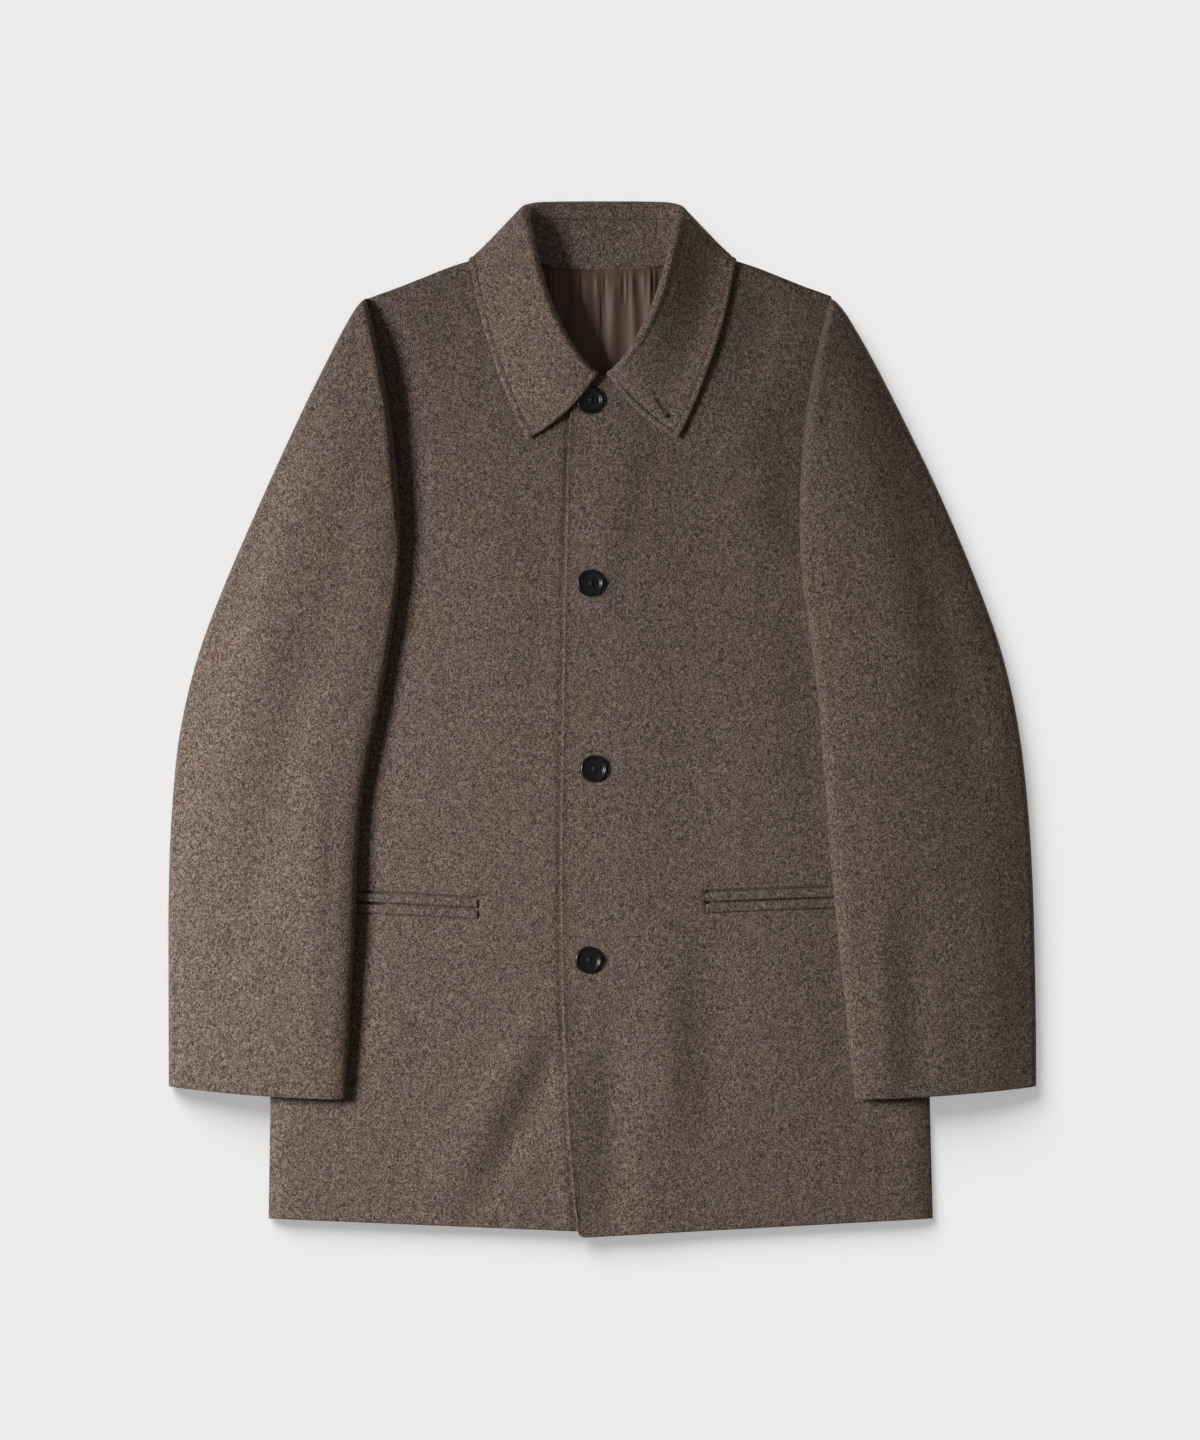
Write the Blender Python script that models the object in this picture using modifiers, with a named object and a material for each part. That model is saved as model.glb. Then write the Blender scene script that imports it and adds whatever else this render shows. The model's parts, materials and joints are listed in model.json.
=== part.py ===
"""Short wool coat laid flat on its back: thin cloth walls in the cut of the garment.

Tables are in millimetres, seen from above: x to the viewer's right, y toward the collar, z up.
The wearer's left is on the viewer's right.
"""

import math
from collections import namedtuple

import bmesh
import bpy
import numpy as np

MM = 0.001

WOOL_WALL = 2.4
COLLAR_WALL = 2.8
LINING_WALL = 1.0
WELT_WALL = 1.6
SEAM_GAP = 0.35
ROLL_SEAM_GAP = 1.0

FRONT_TOP = 10.0
FRONT_EDGE_TOP = 5.2
FRONT_EDGE_ROUND = 20.0
LAP_LIFT = 2.8
SHOULDER_TOP = 9.0
SHOULDER_END_TOP = 7.0
BACK_INSET = 1.8
NECK_RAISE = 3.7
NECK_LIFT = 2.6
SLEEVE_REST = 10.8
POCKET_LIFT = 2.6

UNDERARM_SHARE = 0.62
NECK_SHARE = 0.87
BACK_NECK_FROM = 0.31

BUTTON_RADIUS = 11.4
BUTTON_HEIGHT = 4.2
BUTTON_HOLE_RADIUS = 0.9
BUTTON_HOLE_STEP = 1.6
WELT_HEIGHT = 7.6
WELT_LENGTH = 145.0

Spot = namedtuple("Spot", "x y")
Fold = namedtuple("Fold", "x0 y0 x1 y1 width height")
Ring = namedtuple(
    "Ring",
    "outer_x outer_y right_out left_x left_y right_x right_y outer_tall inner_tall crown left_bow right_bow",
)
Station = namedtuple(
    "Station",
    "fold_x fold_y fold_z edge_x edge_y edge_z seam_x seam_y seam_z roll twist bow",
)
Pocket = namedtuple("Pocket", "inner_x inner_y slope")

LEFT_FRONT_EDGE = (
    Spot(-20.5, -431.5),
    Spot(-27.5, -360.0),
    Spot(-33.3, -234.0),
    Spot(-34.6, -165.0),
    Spot(-32.9, 20.0),
    Spot(-30.4, 145.0),
    Spot(-26.7, 258.0),
    Spot(-24.5, 282.0),
)
RIGHT_FRONT_EDGE = (
    Spot(11.0, -427.5),
    Spot(11.0, -80.0),
    Spot(11.0, 284.0),
)
LEFT_NECKLINE = (
    Spot(-24.5, 282.0),
    Spot(-4.0, 285.5),
    Spot(16.0, 289.0),
    Spot(35.0, 305.0),
    Spot(52.0, 331.0),
    Spot(65.0, 359.0),
    Spot(74.0, 380.0),
)
RIGHT_NECKLINE = (
    Spot(11.0, 284.0),
    Spot(-4.0, 286.0),
    Spot(-18.0, 290.0),
    Spot(-36.0, 305.0),
    Spot(-53.0, 331.0),
    Spot(-65.0, 359.0),
    Spot(-74.0, 380.0),
)
LEFT_SIDE = (
    Spot(275.6, -415.5),
    Spot(273.2, -320.0),
    Spot(274.0, -100.0),
    Spot(276.0, 84.0),
)
RIGHT_SIDE = (
    Spot(-278.6, -415.5),
    Spot(-277.2, -320.0),
    Spot(-276.5, -100.0),
    Spot(-277.0, 84.0),
)
LEFT_ARMHOLE = (
    Spot(276.0, 84.0),
    Spot(238.0, 95.0),
    Spot(200.0, 110.0),
    Spot(175.0, 128.0),
    Spot(165.5, 148.0),
    Spot(162.9, 172.0),
    Spot(163.2, 202.0),
    Spot(165.8, 234.0),
    Spot(170.3, 264.0),
    Spot(177.0, 298.0),
    Spot(185.0, 335.0),
)
RIGHT_ARMHOLE = (
    Spot(-277.0, 84.0),
    Spot(-240.0, 95.0),
    Spot(-204.0, 110.0),
    Spot(-180.0, 128.0),
    Spot(-170.5, 148.0),
    Spot(-168.3, 172.0),
    Spot(-170.7, 202.0),
    Spot(-173.7, 234.0),
    Spot(-176.9, 264.0),
    Spot(-181.1, 298.0),
    Spot(-186.3, 335.0),
)
BACK_SHOULDER = (
    Spot(188.0, 352.6),
    Spot(150.0, 367.8),
    Spot(128.0, 375.4),
    Spot(108.0, 375.0),
    Spot(72.0, 390.5),
)
BACK_NECK = (
    Spot(72.0, 390.5),
    Spot(54.0, 384.5),
    Spot(30.0, 380.5),
    Spot(0.0, 379.5),
)
SHOULDER_SEAM = (
    Spot(185.0, 335.0),
    Spot(148.0, 351.5),
    Spot(108.0, 366.5),
    Spot(74.0, 380.0),
)

FRONT_FOLDS = (
    Fold(-44.0, -250.0, -98.0, -372.0, 15.0, -2.6),
    Fold(-84.0, -255.0, -128.0, -360.0, 18.0, 2.2),
    Fold(78.0, -225.0, 74.0, -340.0, 15.0, -2.4),
    Fold(34.0, -230.0, 30.0, -360.0, 17.0, 1.8),
    Fold(118.0, -215.0, 112.0, -330.0, 18.0, 1.8),
    Fold(-128.0, 190.0, -112.0, 60.0, 24.0, 2.0),
    Fold(104.0, 236.0, 128.0, 90.0, 24.0, 1.8),
)
SLEEVE_FOLDS = (
    Fold(-262.0, 85.0, -300.0, -235.0, 17.0, -3.0),
    Fold(-232.0, 60.0, -243.0, -200.0, 20.0, 2.4),
    Fold(252.0, -190.0, 255.0, -330.0, 15.0, -3.0),
    Fold(226.0, -150.0, 228.0, -330.0, 16.0, 2.0),
    Fold(296.0, -120.0, 300.0, -330.0, 20.0, 2.0),
)

SLEEVE_RINGS = (
    Ring(189.6, 352.0, 0.2, 164.0, 172.0, 169.0, 172.0, 7.0, 7.0, 0.0, 6.5, 2.0),
    Ring(196.0, 346.0, 2.6, 164.1, 152.0, 169.2, 152.0, 12.0, 12.0, 8.0, 5.0, 2.0),
    Ring(206.0, 332.5, 4.2, 165.2, 126.0, 170.2, 122.0, 13.0, 14.0, 11.0, 2.0, 1.0),
    Ring(226.0, 297.5, 3.8, 169.0, 94.0, 173.6, 88.0, 13.0, 15.0, 10.0, 0.0, 0.0),
    Ring(250.4, 250.0, 2.7, 175.0, 52.0, 180.0, 46.0, 13.0, 16.0, 8.0, 0.0, 0.0),
    Ring(282.2, 184.0, 1.2, 180.6, 5.0, 187.6, 5.0, 13.0, 16.0, 6.0, 0.0, 0.0),
    Ring(312.0, 113.0, 2.2, 184.0, -42.0, 197.0, -37.0, 13.0, 16.0, 5.0, 0.0, 0.0),
    Ring(333.4, 52.0, 3.6, 186.4, -70.0, 201.4, -66.0, 13.0, 16.0, 4.0, 0.0, 0.0),
    Ring(347.2, -12.0, 4.8, 189.0, -108.0, 204.2, -102.0, 13.0, 16.0, 4.0, 0.0, 0.0),
    Ring(354.8, -80.0, 4.0, 192.0, -143.0, 205.4, -140.0, 13.0, 16.0, 4.0, 0.0, 0.0),
    Ring(358.6, -145.0, 2.6, 196.4, -187.0, 206.4, -183.0, 13.0, 16.0, 4.0, 0.0, 0.0),
    Ring(360.2, -208.0, 1.2, 200.6, -226.0, 208.6, -223.0, 13.0, 16.0, 4.0, 0.0, 0.0),
    Ring(361.0, -258.0, 0.3, 204.6, -268.0, 210.8, -267.0, 13.0, 16.0, 3.0, 0.0, 0.0),
    Ring(361.2, -305.5, 0.0, 209.6, -316.0, 214.0, -316.0, 13.0, 16.0, 2.0, -2.0, -2.0),
)

COLLAR_STATIONS = (
    Station(2.4, 287.5, 19.0, 62.8, 232.8, 15.8, 8.5, 283.5, 14.4, 3.6, 0.0, -5.0),
    Station(13.0, 297.0, 24.0, 74.5, 257.0, 15.2, 23.0, 292.5, 14.4, 4.4, 0.0, -3.0),
    Station(24.5, 313.0, 28.0, 85.0, 282.5, 15.0, 38.0, 308.0, 14.2, 5.0, 0.0, -1.0),
    Station(35.0, 332.0, 31.0, 94.0, 308.5, 15.2, 53.0, 330.0, 13.8, 5.4, 0.0, 0.0),
    Station(44.0, 353.5, 33.0, 101.2, 332.5, 15.4, 64.5, 353.0, 13.4, 5.6, 0.0, 0.0),
    Station(51.8, 380.0, 33.0, 107.0, 358.0, 15.2, 71.5, 374.0, 13.0, 5.6, 0.0, 0.0),
    Station(57.2, 404.0, 30.0, 110.8, 380.0, 14.6, 72.0, 384.0, 13.4, 5.6, 25.0, 0.0),
    Station(61.2, 422.0, 23.0, 112.4, 382.8, 7.6, 66.0, 385.5, 13.2, 5.4, 90.0, 0.0),
    Station(56.0, 429.6, 14.0, 106.0, 376.0, 0.0, 56.5, 380.0, 12.0, 5.4, 150.0, 0.0),
    Station(38.0, 431.2, 7.4, 68.0, 367.0, 0.0, 41.0, 375.6, 11.4, 5.5, 176.0, 0.0),
    Station(19.0, 431.5, 5.6, 33.0, 364.8, 0.0, 20.5, 374.8, 11.4, 5.5, 180.0, 0.0),
    Station(0.0, 431.5, 5.5, 0.0, 364.0, 0.0, 0.0, 374.6, 11.4, 5.5, 180.0, 0.0),
)

BUTTON_SPOTS = (
    Spot(-10.2, 265.4),
    Spot(-10.0, 113.4),
    Spot(-7.2, -41.0),
    Spot(-11.6, -200.0),
)
LEFT_POCKET = Pocket(86.5, -152.4, 0.036)
RIGHT_POCKET = Pocket(-104.0, -157.6, 0.054)

PLEAT_COUNT = 9
PLEAT_HEIGHT = 1.5
PLEAT_SPREAD = 52.0
LINING_HEM = -392.0


def ease(low, high, value):
    """Smooth step from 0 at low to 1 at high."""
    share = np.clip((value - low) / (high - low), 0.0, 1.0)
    return share * share * (3.0 - 2.0 * share)


def smooth_rows(rows, marks, shares):
    """Values at the shares of a smooth curve through table rows that stand at the marks."""
    values = np.array(rows, dtype=float)
    slopes = np.gradient(values, marks, axis=0)
    shares = np.asarray(shares, dtype=float)
    index = np.clip(np.searchsorted(marks, shares, side="right") - 1, 0, len(marks) - 2)
    span = (marks[index + 1] - marks[index])[:, None]
    part = ((shares - marks[index]) / span[:, 0])[:, None]
    keep = 2 * part ** 3 - 3 * part ** 2 + 1
    lead = (part ** 3 - 2 * part ** 2 + part) * span
    trail = (part ** 3 - part ** 2) * span
    return (
        keep * values[index] + lead * slopes[index]
        + (1 - keep) * values[index + 1] + trail * slopes[index + 1]
    )


def along(rows, shares):
    """Points at shares of the length of the outline through the rows."""
    steps = np.linalg.norm(np.diff(np.array(rows, dtype=float), axis=0), axis=1)
    marks = np.concatenate(([0.0], np.cumsum(steps)))
    return smooth_rows(rows, marks / marks[-1], shares)


def joined(first, second, change, shares):
    """Outline that follows one table up to the change share, then the next one."""
    before = along(first, np.clip(shares / change, 0.0, 1.0))
    after = along(second, np.clip((shares - change) / (1.0 - change), 0.0, 1.0))
    return np.where((shares <= change)[:, None], before, after)


def patch(bottom, top, start, end, across, up):
    """Plan of a panel spanned between its four outlines."""
    across = across[None, :, None]
    up = up[:, None, None]
    ruled = (1 - up) * bottom[None] + up * top[None]
    ruled = ruled + (1 - across) * start[:, None] + across * end[:, None]
    corners = (
        (1 - across) * (1 - up) * bottom[0] + across * (1 - up) * bottom[-1]
        + (1 - across) * up * top[0] + across * up * top[-1]
    )
    return ruled - corners


def fold_height(folds, x, y):
    """Height that the soft folds add at a spot."""
    total = np.zeros(np.broadcast(x, y).shape)
    for fold in folds:
        run_x = fold.x1 - fold.x0
        run_y = fold.y1 - fold.y0
        length = math.hypot(run_x, run_y)
        ahead = ((x - fold.x0) * run_x + (y - fold.y0) * run_y) / length
        aside = ((x - fold.x0) * run_y - (y - fold.y0) * run_x) / length
        fade = ease(-0.25 * length, 0.3 * length, ahead)
        fade = fade * (1 - ease(0.7 * length, 1.25 * length, ahead))
        total = total + fold.height * np.exp(-(aside / fold.width) ** 2) * fade
    return total


def neck_raise(x, y):
    """Lift of the back where the collar fall lies under it."""
    return NECK_RAISE * ease(290.0, 361.0, y) * (1 - ease(116.0, 160.0, np.abs(x)))


def neck_lift(x, y):
    """Lift of the fronts round the neck, over the raised back and its lining."""
    return NECK_LIFT * ease(285.0, 345.0, y) * (1 - ease(92.0, 140.0, np.abs(x)))


def lap_lift(x):
    """Lift of the left front where it laps over the right one."""
    return LAP_LIFT * (1 - ease(16.0, 95.0, x))


def sleeve_rest(x, y):
    """Height that a sleeve's underside rests on: the front, falling away to the floor."""
    side = 1 - ease(264.0, 328.0, np.abs(x))
    underarm = 1 - ease(134.0, 200.0, y)
    beside_pocket = 1 - ease(238.0, 285.0, np.abs(x))
    around_pocket = ease(-215.0, -172.0, y) * (1 - ease(-128.0, -85.0, y))
    return SLEEVE_REST * side * underarm + POCKET_LIFT * beside_pocket * around_pocket


def front_height(x, y):
    """Top of a front, away from its outer edge."""
    open_front = 1 - ease(140.0, 175.0, np.abs(x))
    shoulder = ease(250.0, 345.0, y + 0.4 * (np.abs(x) - 111.0))
    top = FRONT_TOP + fold_height(FRONT_FOLDS, x, y) * open_front
    return top + (SHOULDER_TOP - FRONT_TOP) * shoulder + neck_lift(x, y)


def sheet(name, points, material, wall, closed=False, turned=False, kept=None):
    """Grid of points as one cloth wall; the wall goes inward from the points."""
    rows, columns = points.shape[:2]
    shape = bmesh.new()
    bmesh.ops.create_grid(shape, x_segments=columns - 1, y_segments=rows - 1, size=1.0)
    for vert, point in zip(shape.verts, points.reshape(-1, 3)):
        vert.co = point * MM
    if kept is not None:
        spare = [face for face, keep in zip(shape.faces, kept.reshape(-1)) if not keep]
        bmesh.ops.delete(shape, geom=spare, context="FACES")
    if closed:
        bmesh.ops.remove_doubles(shape, verts=shape.verts, dist=1e-6)
    if turned:
        bmesh.ops.reverse_faces(shape, faces=shape.faces)
    mesh = bpy.data.meshes.new(name)
    shape.to_mesh(mesh)
    shape.free()
    mesh.materials.append(material)
    piece = bpy.data.objects.new(name, mesh)
    cloth = piece.modifiers.new("cloth wall", "SOLIDIFY")
    cloth.thickness = wall * MM
    cloth.offset = -1.0
    return piece


def front_piece(name, edge, neckline, side, armhole, material, laps):
    """One front: hem, front edge and neckline, shoulder seam, side and armhole."""
    up = np.concatenate((
        np.linspace(0.0, UNDERARM_SHARE, 13)[:-1],
        np.linspace(UNDERARM_SHARE, NECK_SHARE, 9)[:-1],
        np.linspace(NECK_SHARE, 1.0, 5),
    ))
    across = 1 - (1 - np.linspace(0.0, 1.0, 15)) ** 1.5
    start = joined(edge, neckline, NECK_SHARE, up)
    end = joined(side, armhole, UNDERARM_SHARE, up)
    hem = start[0] + across[:, None] * (end[0] - start[0])
    shoulder = along(SHOULDER_SEAM[::-1], across) * (np.sign(end[-1][0]), 1.0)
    shoulder = shoulder + across[:, None] * (end[-1] - shoulder[-1])
    plan = patch(hem, shoulder, start, end, across, up)
    x = plan[..., 0]
    y = plan[..., 1]
    z = front_height(x, y)
    if laps:
        z = z + lap_lift(x)
    inward = np.linalg.norm(plan - end[:, None], axis=2)
    edge_drop = np.clip(1 - inward / FRONT_EDGE_ROUND, 0.0, 1.0) ** 2
    z = z + (FRONT_EDGE_TOP - z) * edge_drop
    points = np.stack((x, y, z), axis=2)
    return sheet(name, points, material, WOOL_WALL, turned=not laps)


def back_piece(material):
    """Back panel on the floor, carried round the shoulder fold to the shoulder seam."""
    up = np.concatenate((
        np.linspace(0.0, UNDERARM_SHARE, 6)[:-1],
        np.linspace(UNDERARM_SHARE, 1.0, 12),
    ))
    shoulder_steps = 6
    neck_steps = 5
    half = np.concatenate((
        along(BACK_SHOULDER, np.linspace(0.0, 1.0, shoulder_steps + 1)),
        along(BACK_NECK, np.linspace(0.0, 1.0, neck_steps + 1))[1:],
    ))
    top = np.concatenate((half * (-1, 1), half[-2::-1]))
    half_share = np.concatenate((
        np.linspace(0.0, BACK_NECK_FROM, shoulder_steps + 1),
        np.linspace(BACK_NECK_FROM, 0.5, neck_steps + 1)[1:],
    ))
    across = np.concatenate((half_share, 1 - half_share[-2::-1]))
    raised = neck_raise(top[:, 0], top[:, 1])
    end_drop = ease(150.0, 186.0, np.abs(top[:, 0]))
    strip_top = SHOULDER_TOP + (SHOULDER_END_TOP - SHOULDER_TOP) * end_drop
    strip_top = strip_top + neck_lift(top[:, 0], top[:, 1])
    radius = (strip_top - raised) / 2
    down = np.array((0.37, 0.93))
    inward = -np.stack((np.sign(top[:, 0]) * down[0], np.full(len(top), down[1])), axis=1)
    on_shoulder = np.abs(top[:, 0]) >= BACK_NECK[0].x - 0.01
    fold_line = top + np.where(on_shoulder[:, None], inward * radius[:, None], 0.0)
    start = joined(RIGHT_SIDE, RIGHT_ARMHOLE, UNDERARM_SHARE, up)
    end = joined(LEFT_SIDE, LEFT_ARMHOLE, UNDERARM_SHARE, up)
    late = ease(UNDERARM_SHARE, 1.0, up)[:, None]
    start = start + (BACK_INSET, 0.0) + late * (fold_line[0] - start[-1] - (BACK_INSET, 0.0))
    end = end - (BACK_INSET, 0.0) + late * (fold_line[-1] - end[-1] + (BACK_INSET, 0.0))
    hem = start[0] + across[:, None] * (end[0] - start[0]) + (0.0, BACK_INSET)
    hem[:, 1] -= 6.0 * np.sin(math.pi * across)
    start[0] = hem[0]
    end[0] = hem[-1]
    plan = patch(hem, fold_line, start, end, across, up)
    flat = np.stack((plan[..., 0], plan[..., 1], neck_raise(plan[..., 0], plan[..., 1])), axis=2)
    wrap = []
    for angle in np.radians((-45.0, 0.0, 45.0, 90.0)):
        reach = fold_line - inward * (radius * math.cos(angle))[:, None]
        wrap.append(np.column_stack((reach, raised + radius * (1 + math.sin(angle)))))
    seam_half = along(SHOULDER_SEAM, np.linspace(0.0, 1.0, shoulder_steps + 1)) + (0.0, 2 * SEAM_GAP)
    strip = fold_line.copy()
    strip[:shoulder_steps + 1] = seam_half * (-1, 1)
    strip[-shoulder_steps - 1:] = seam_half[::-1]
    wrap.append(np.column_stack((strip, strip_top)))
    points = np.concatenate((flat, np.array(wrap)))
    kept = np.ones((len(points) - 1, len(across) - 1), dtype=bool)
    middle = (across[:-1] + across[1:]) / 2
    kept[len(up) - 1:, np.abs(middle - 0.5) < 0.5 - BACK_NECK_FROM] = False
    return sheet("back", points, material, WOOL_WALL, turned=True, kept=kept)


def lining_piece(material):
    """Back lining, gathered into the neck seam and smooth below."""
    inner = np.linspace(-PLEAT_SPREAD, PLEAT_SPREAD, 37)
    rows = (376.5, 366.0, 352.0, 330.0, 308.0, 285.0, 245.0, 95.0, 20.0, LINING_HEM)
    points = []
    for row_y in rows[::-1]:
        wide = 245.0 - 105.0 * ease(20.0, 95.0, row_y) - 76.0 * ease(245.0, 352.0, row_y)
        x = np.concatenate(([-wide, -0.5 * (wide + PLEAT_SPREAD)], inner, [0.5 * (wide + PLEAT_SPREAD), wide]))
        y = row_y + 11.0 * (np.minimum(np.abs(x), 60.0) / 60.0) ** 2 * ease(340.0, 376.0, row_y)
        wave = np.cos(2 * math.pi * PLEAT_COUNT * x / (2 * PLEAT_SPREAD))
        gather = PLEAT_HEIGHT * (1 - ease(0.75, 1.0, np.abs(x) / PLEAT_SPREAD)) * ease(200.0, 320.0, row_y)
        gather = gather * (1 - 0.9 * ease(345.0, 366.0, row_y))
        lift = neck_raise(x, y) + WOOL_WALL + LINING_WALL + SEAM_GAP
        lift = lift + SEAM_GAP * ease(270.0, 300.0, y)
        points.append(np.column_stack((x, y, lift + gather * (1 + wave) / 2)))
    return sheet("lining_back", np.array(points), material, LINING_WALL)


def sleeve_piece(name, sign, material):
    """Sleeve tube from the armhole seam to the cuff, pressed flat."""
    top_steps = 10
    cap_steps = 4
    bottom_steps = 6
    rings = []
    for ring in SLEEVE_RINGS:
        if sign > 0:
            outer = np.array((ring.outer_x, ring.outer_y))
            inner = np.array((ring.left_x, ring.left_y))
            most_bow = ring.left_bow
        else:
            outer = np.array((-ring.outer_x - ring.right_out, ring.outer_y))
            inner = np.array((-ring.right_x, ring.right_y))
            most_bow = ring.right_bow
        span = np.linalg.norm(inner - outer)
        run = (inner - outer) / span
        toward_body = np.array((-run[1], run[0])) * -sign
        outer_radius = ring.outer_tall / 2
        inner_radius = ring.inner_tall / 2

        def plan_at(distance):
            share = np.asarray(distance) / span
            bow = most_bow * 4 * share * (1 - share)
            return outer + np.outer(distance, run) + np.outer(bow, toward_body)

        def rest_at(distance):
            spots = plan_at(distance)
            return sleeve_rest(spots[:, 0], spots[:, 1])

        top_run = np.linspace(outer_radius, span - inner_radius, top_steps + 1)
        share = np.linspace(0.0, 1.0, top_steps + 1)
        outer_rest = rest_at([outer_radius])[0]
        inner_rest = rest_at([span - inner_radius])[0]
        low = outer_rest + ring.outer_tall
        high = inner_rest + ring.inner_tall
        top_plan = plan_at(top_run)
        top_z = low + (high - low) * ease(0.0, 1.0, share) + ring.crown * 4 * share * (1 - share)
        ends = ease(0.0, 0.2, share) * (1 - ease(0.8, 1.0, share))
        top_z = top_z + fold_height(SLEEVE_FOLDS, top_plan[:, 0], top_plan[:, 1]) * ends
        turn = np.radians(np.linspace(90.0, -90.0, cap_steps + 1))[1:-1]
        inner_run = span - inner_radius + inner_radius * np.cos(turn)
        inner_z = inner_rest + inner_radius * (1 + np.sin(turn))
        bottom_run = np.linspace(span - inner_radius, outer_radius, bottom_steps + 1)
        bottom_z = rest_at(bottom_run)
        outer_run = outer_radius - outer_radius * np.cos(turn)
        outer_z = outer_rest + outer_radius * (1 - np.sin(turn))
        distance = np.concatenate((top_run, inner_run, bottom_run, outer_run, top_run[:1]))
        height = np.concatenate((top_z, inner_z, bottom_z, outer_z, top_z[:1]))
        rings.append(np.column_stack((plan_at(distance), height)))
    return sheet(name, np.array(rings), material, WOOL_WALL, closed=True, turned=sign < 0)


def collar_frames(count):
    """Stations from the front end of the collar's left leaf round the back to the right one."""
    marks = np.linspace(0.0, 1.0, len(COLLAR_STATIONS))
    half = smooth_rows(COLLAR_STATIONS, marks, np.linspace(0.0, 1.0, count))
    frames = []
    for row in half:
        frames.append((Station(*row), 1.0))
    for row in half[-2::-1]:
        frames.append((Station(*row), -1.0))
    return frames


def collar_section(station, sign):
    """Roll and fall points, and stand points, of one collar section on its outer face."""
    mirror = np.array((sign, 1.0, 1.0))
    fold = np.array((station.fold_x, station.fold_y, station.fold_z))
    edge = np.array((station.edge_x, station.edge_y, station.edge_z))
    seam = np.array((station.seam_x, station.seam_y, station.seam_z))
    away = (edge - fold) * (1, 1, 0)
    away = away / np.linalg.norm(away)
    outside = np.array((-away[1], away[0], 0.0))
    twist = math.radians(station.twist)
    rise = math.cos(twist) * np.array((0.0, 0.0, 1.0)) + math.sin(twist) * outside
    centre = fold + station.roll * away
    fall = []
    for angle in np.radians(np.linspace(-90.0, 90.0, 6)):
        fall.append(centre - station.roll * (math.cos(angle) * away - math.sin(angle) * rise))
    leave = fall[-1]
    for share in np.linspace(0.0, 1.0, 8)[1:]:
        point = leave + (edge - leave) * share + outside * (station.bow * 4 * share * (1 - share))
        point[2] = leave[2] + (edge[2] - leave[2]) * ease(-0.15, 1.0, share)
        fall.append(point)
    fall = np.array(fall)
    fall[:, 2] = np.maximum(fall[:, 2], 0.0)
    attach = fall[0]
    gap = (seam - attach) * (ROLL_SEAM_GAP / np.linalg.norm(seam - attach))
    stand = [attach + gap + (seam - attach - gap) * share for share in np.linspace(0.0, 1.0, 4)]
    return fall * mirror, np.array(stand) * mirror


def collar_pieces(material):
    """Collar stand and turned-down fall."""
    falls = []
    stands = []
    for station, sign in collar_frames(23):
        fall, stand = collar_section(station, sign)
        falls.append(fall)
        stands.append(stand)
    return (
        sheet("collar_stand", np.array(stands), material, COLLAR_WALL, turned=True),
        sheet("collar_fall", np.array(falls), material, COLLAR_WALL),
    )


def welt_pieces(name, pocket, sign, material):
    """Two lips of a pocket, laid on the front."""
    pieces = []
    run = np.linspace(0.0, WELT_LENGTH, 13)
    for label, shift in (("upper", 1.0), ("lower", -1.0)):
        points = []
        for share in (-0.5, 0.5):
            x = pocket.inner_x + sign * run
            across = shift * (WELT_HEIGHT + SEAM_GAP) / 2 + share * WELT_HEIGHT
            y = pocket.inner_y + pocket.slope * run + across
            z = front_height(x, y) + SEAM_GAP + WELT_WALL
            if sign > 0:
                z = z + lap_lift(x)
            points.append(np.column_stack((x, y, z)))
        label = "pocket_" + name + "_" + label + "_welt"
        pieces.append(sheet(label, np.array(points), material, WELT_WALL, turned=sign < 0))
    return pieces


def button_piece(name, spot, material, cutters):
    """Turned button with a raised rim, a dished middle and four holes."""
    radius = BUTTON_RADIUS
    profile = (
        (0.0, 0.0),
        (0.62 * radius, 0.0),
        (0.9 * radius, 0.9),
        (radius, 2.2),
        (0.95 * radius, 3.6),
        (0.84 * radius, BUTTON_HEIGHT),
        (0.72 * radius, 3.5),
        (0.5 * radius, 2.7),
        (0.0, 2.5),
    )
    shape = bmesh.new()
    verts = [shape.verts.new((r * MM, 0.0, z * MM)) for r, z in profile]
    for first, second in zip(verts, verts[1:]):
        shape.edges.new((first, second))
    mesh = bpy.data.meshes.new(name)
    shape.to_mesh(mesh)
    shape.free()
    mesh.materials.append(material)
    button = bpy.data.objects.new(name, mesh)
    turn = button.modifiers.new("turned", "SCREW")
    turn.steps = 24
    turn.render_steps = 24
    turn.use_merge_vertices = True
    turn.merge_threshold = 0.00005
    turn.use_normal_calculate = True
    base = front_height(spot.x, spot.y) + lap_lift(spot.x) + SEAM_GAP
    button.location = (spot.x * MM, spot.y * MM, float(base) * MM)
    holes = bpy.data.meshes.new(name + "_holes")
    drill = bmesh.new()
    for side_x in (-1, 1):
        for side_y in (-1, 1):
            made = bmesh.ops.create_cone(
                drill, cap_ends=True, segments=8, depth=3 * BUTTON_HEIGHT * MM,
                radius1=BUTTON_HOLE_RADIUS * MM, radius2=BUTTON_HOLE_RADIUS * MM,
            )
            step = BUTTON_HOLE_STEP * MM
            bmesh.ops.translate(drill, verts=made["verts"], vec=(side_x * step, side_y * step, 0.0))
    drill.to_mesh(holes)
    drill.free()
    cutter = bpy.data.objects.new(name + "_holes", holes)
    cutter.location = button.location
    cutter.hide_render = True
    cutter.display_type = "WIRE"
    cutters.objects.link(cutter)
    drilled = button.modifiers.new("holes", "BOOLEAN")
    drilled.object = cutter
    drilled.operation = "DIFFERENCE"
    drilled.solver = "EXACT"
    return button


def plain_material(name, colour, roughness):
    """Principled material of one plain colour."""
    material = bpy.data.materials.new(name)
    material.use_nodes = True
    shader = material.node_tree.nodes["Principled BSDF"]
    shader.inputs["Base Color"].default_value = (*colour, 1.0)
    shader.inputs["Roughness"].default_value = roughness
    return material


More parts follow.
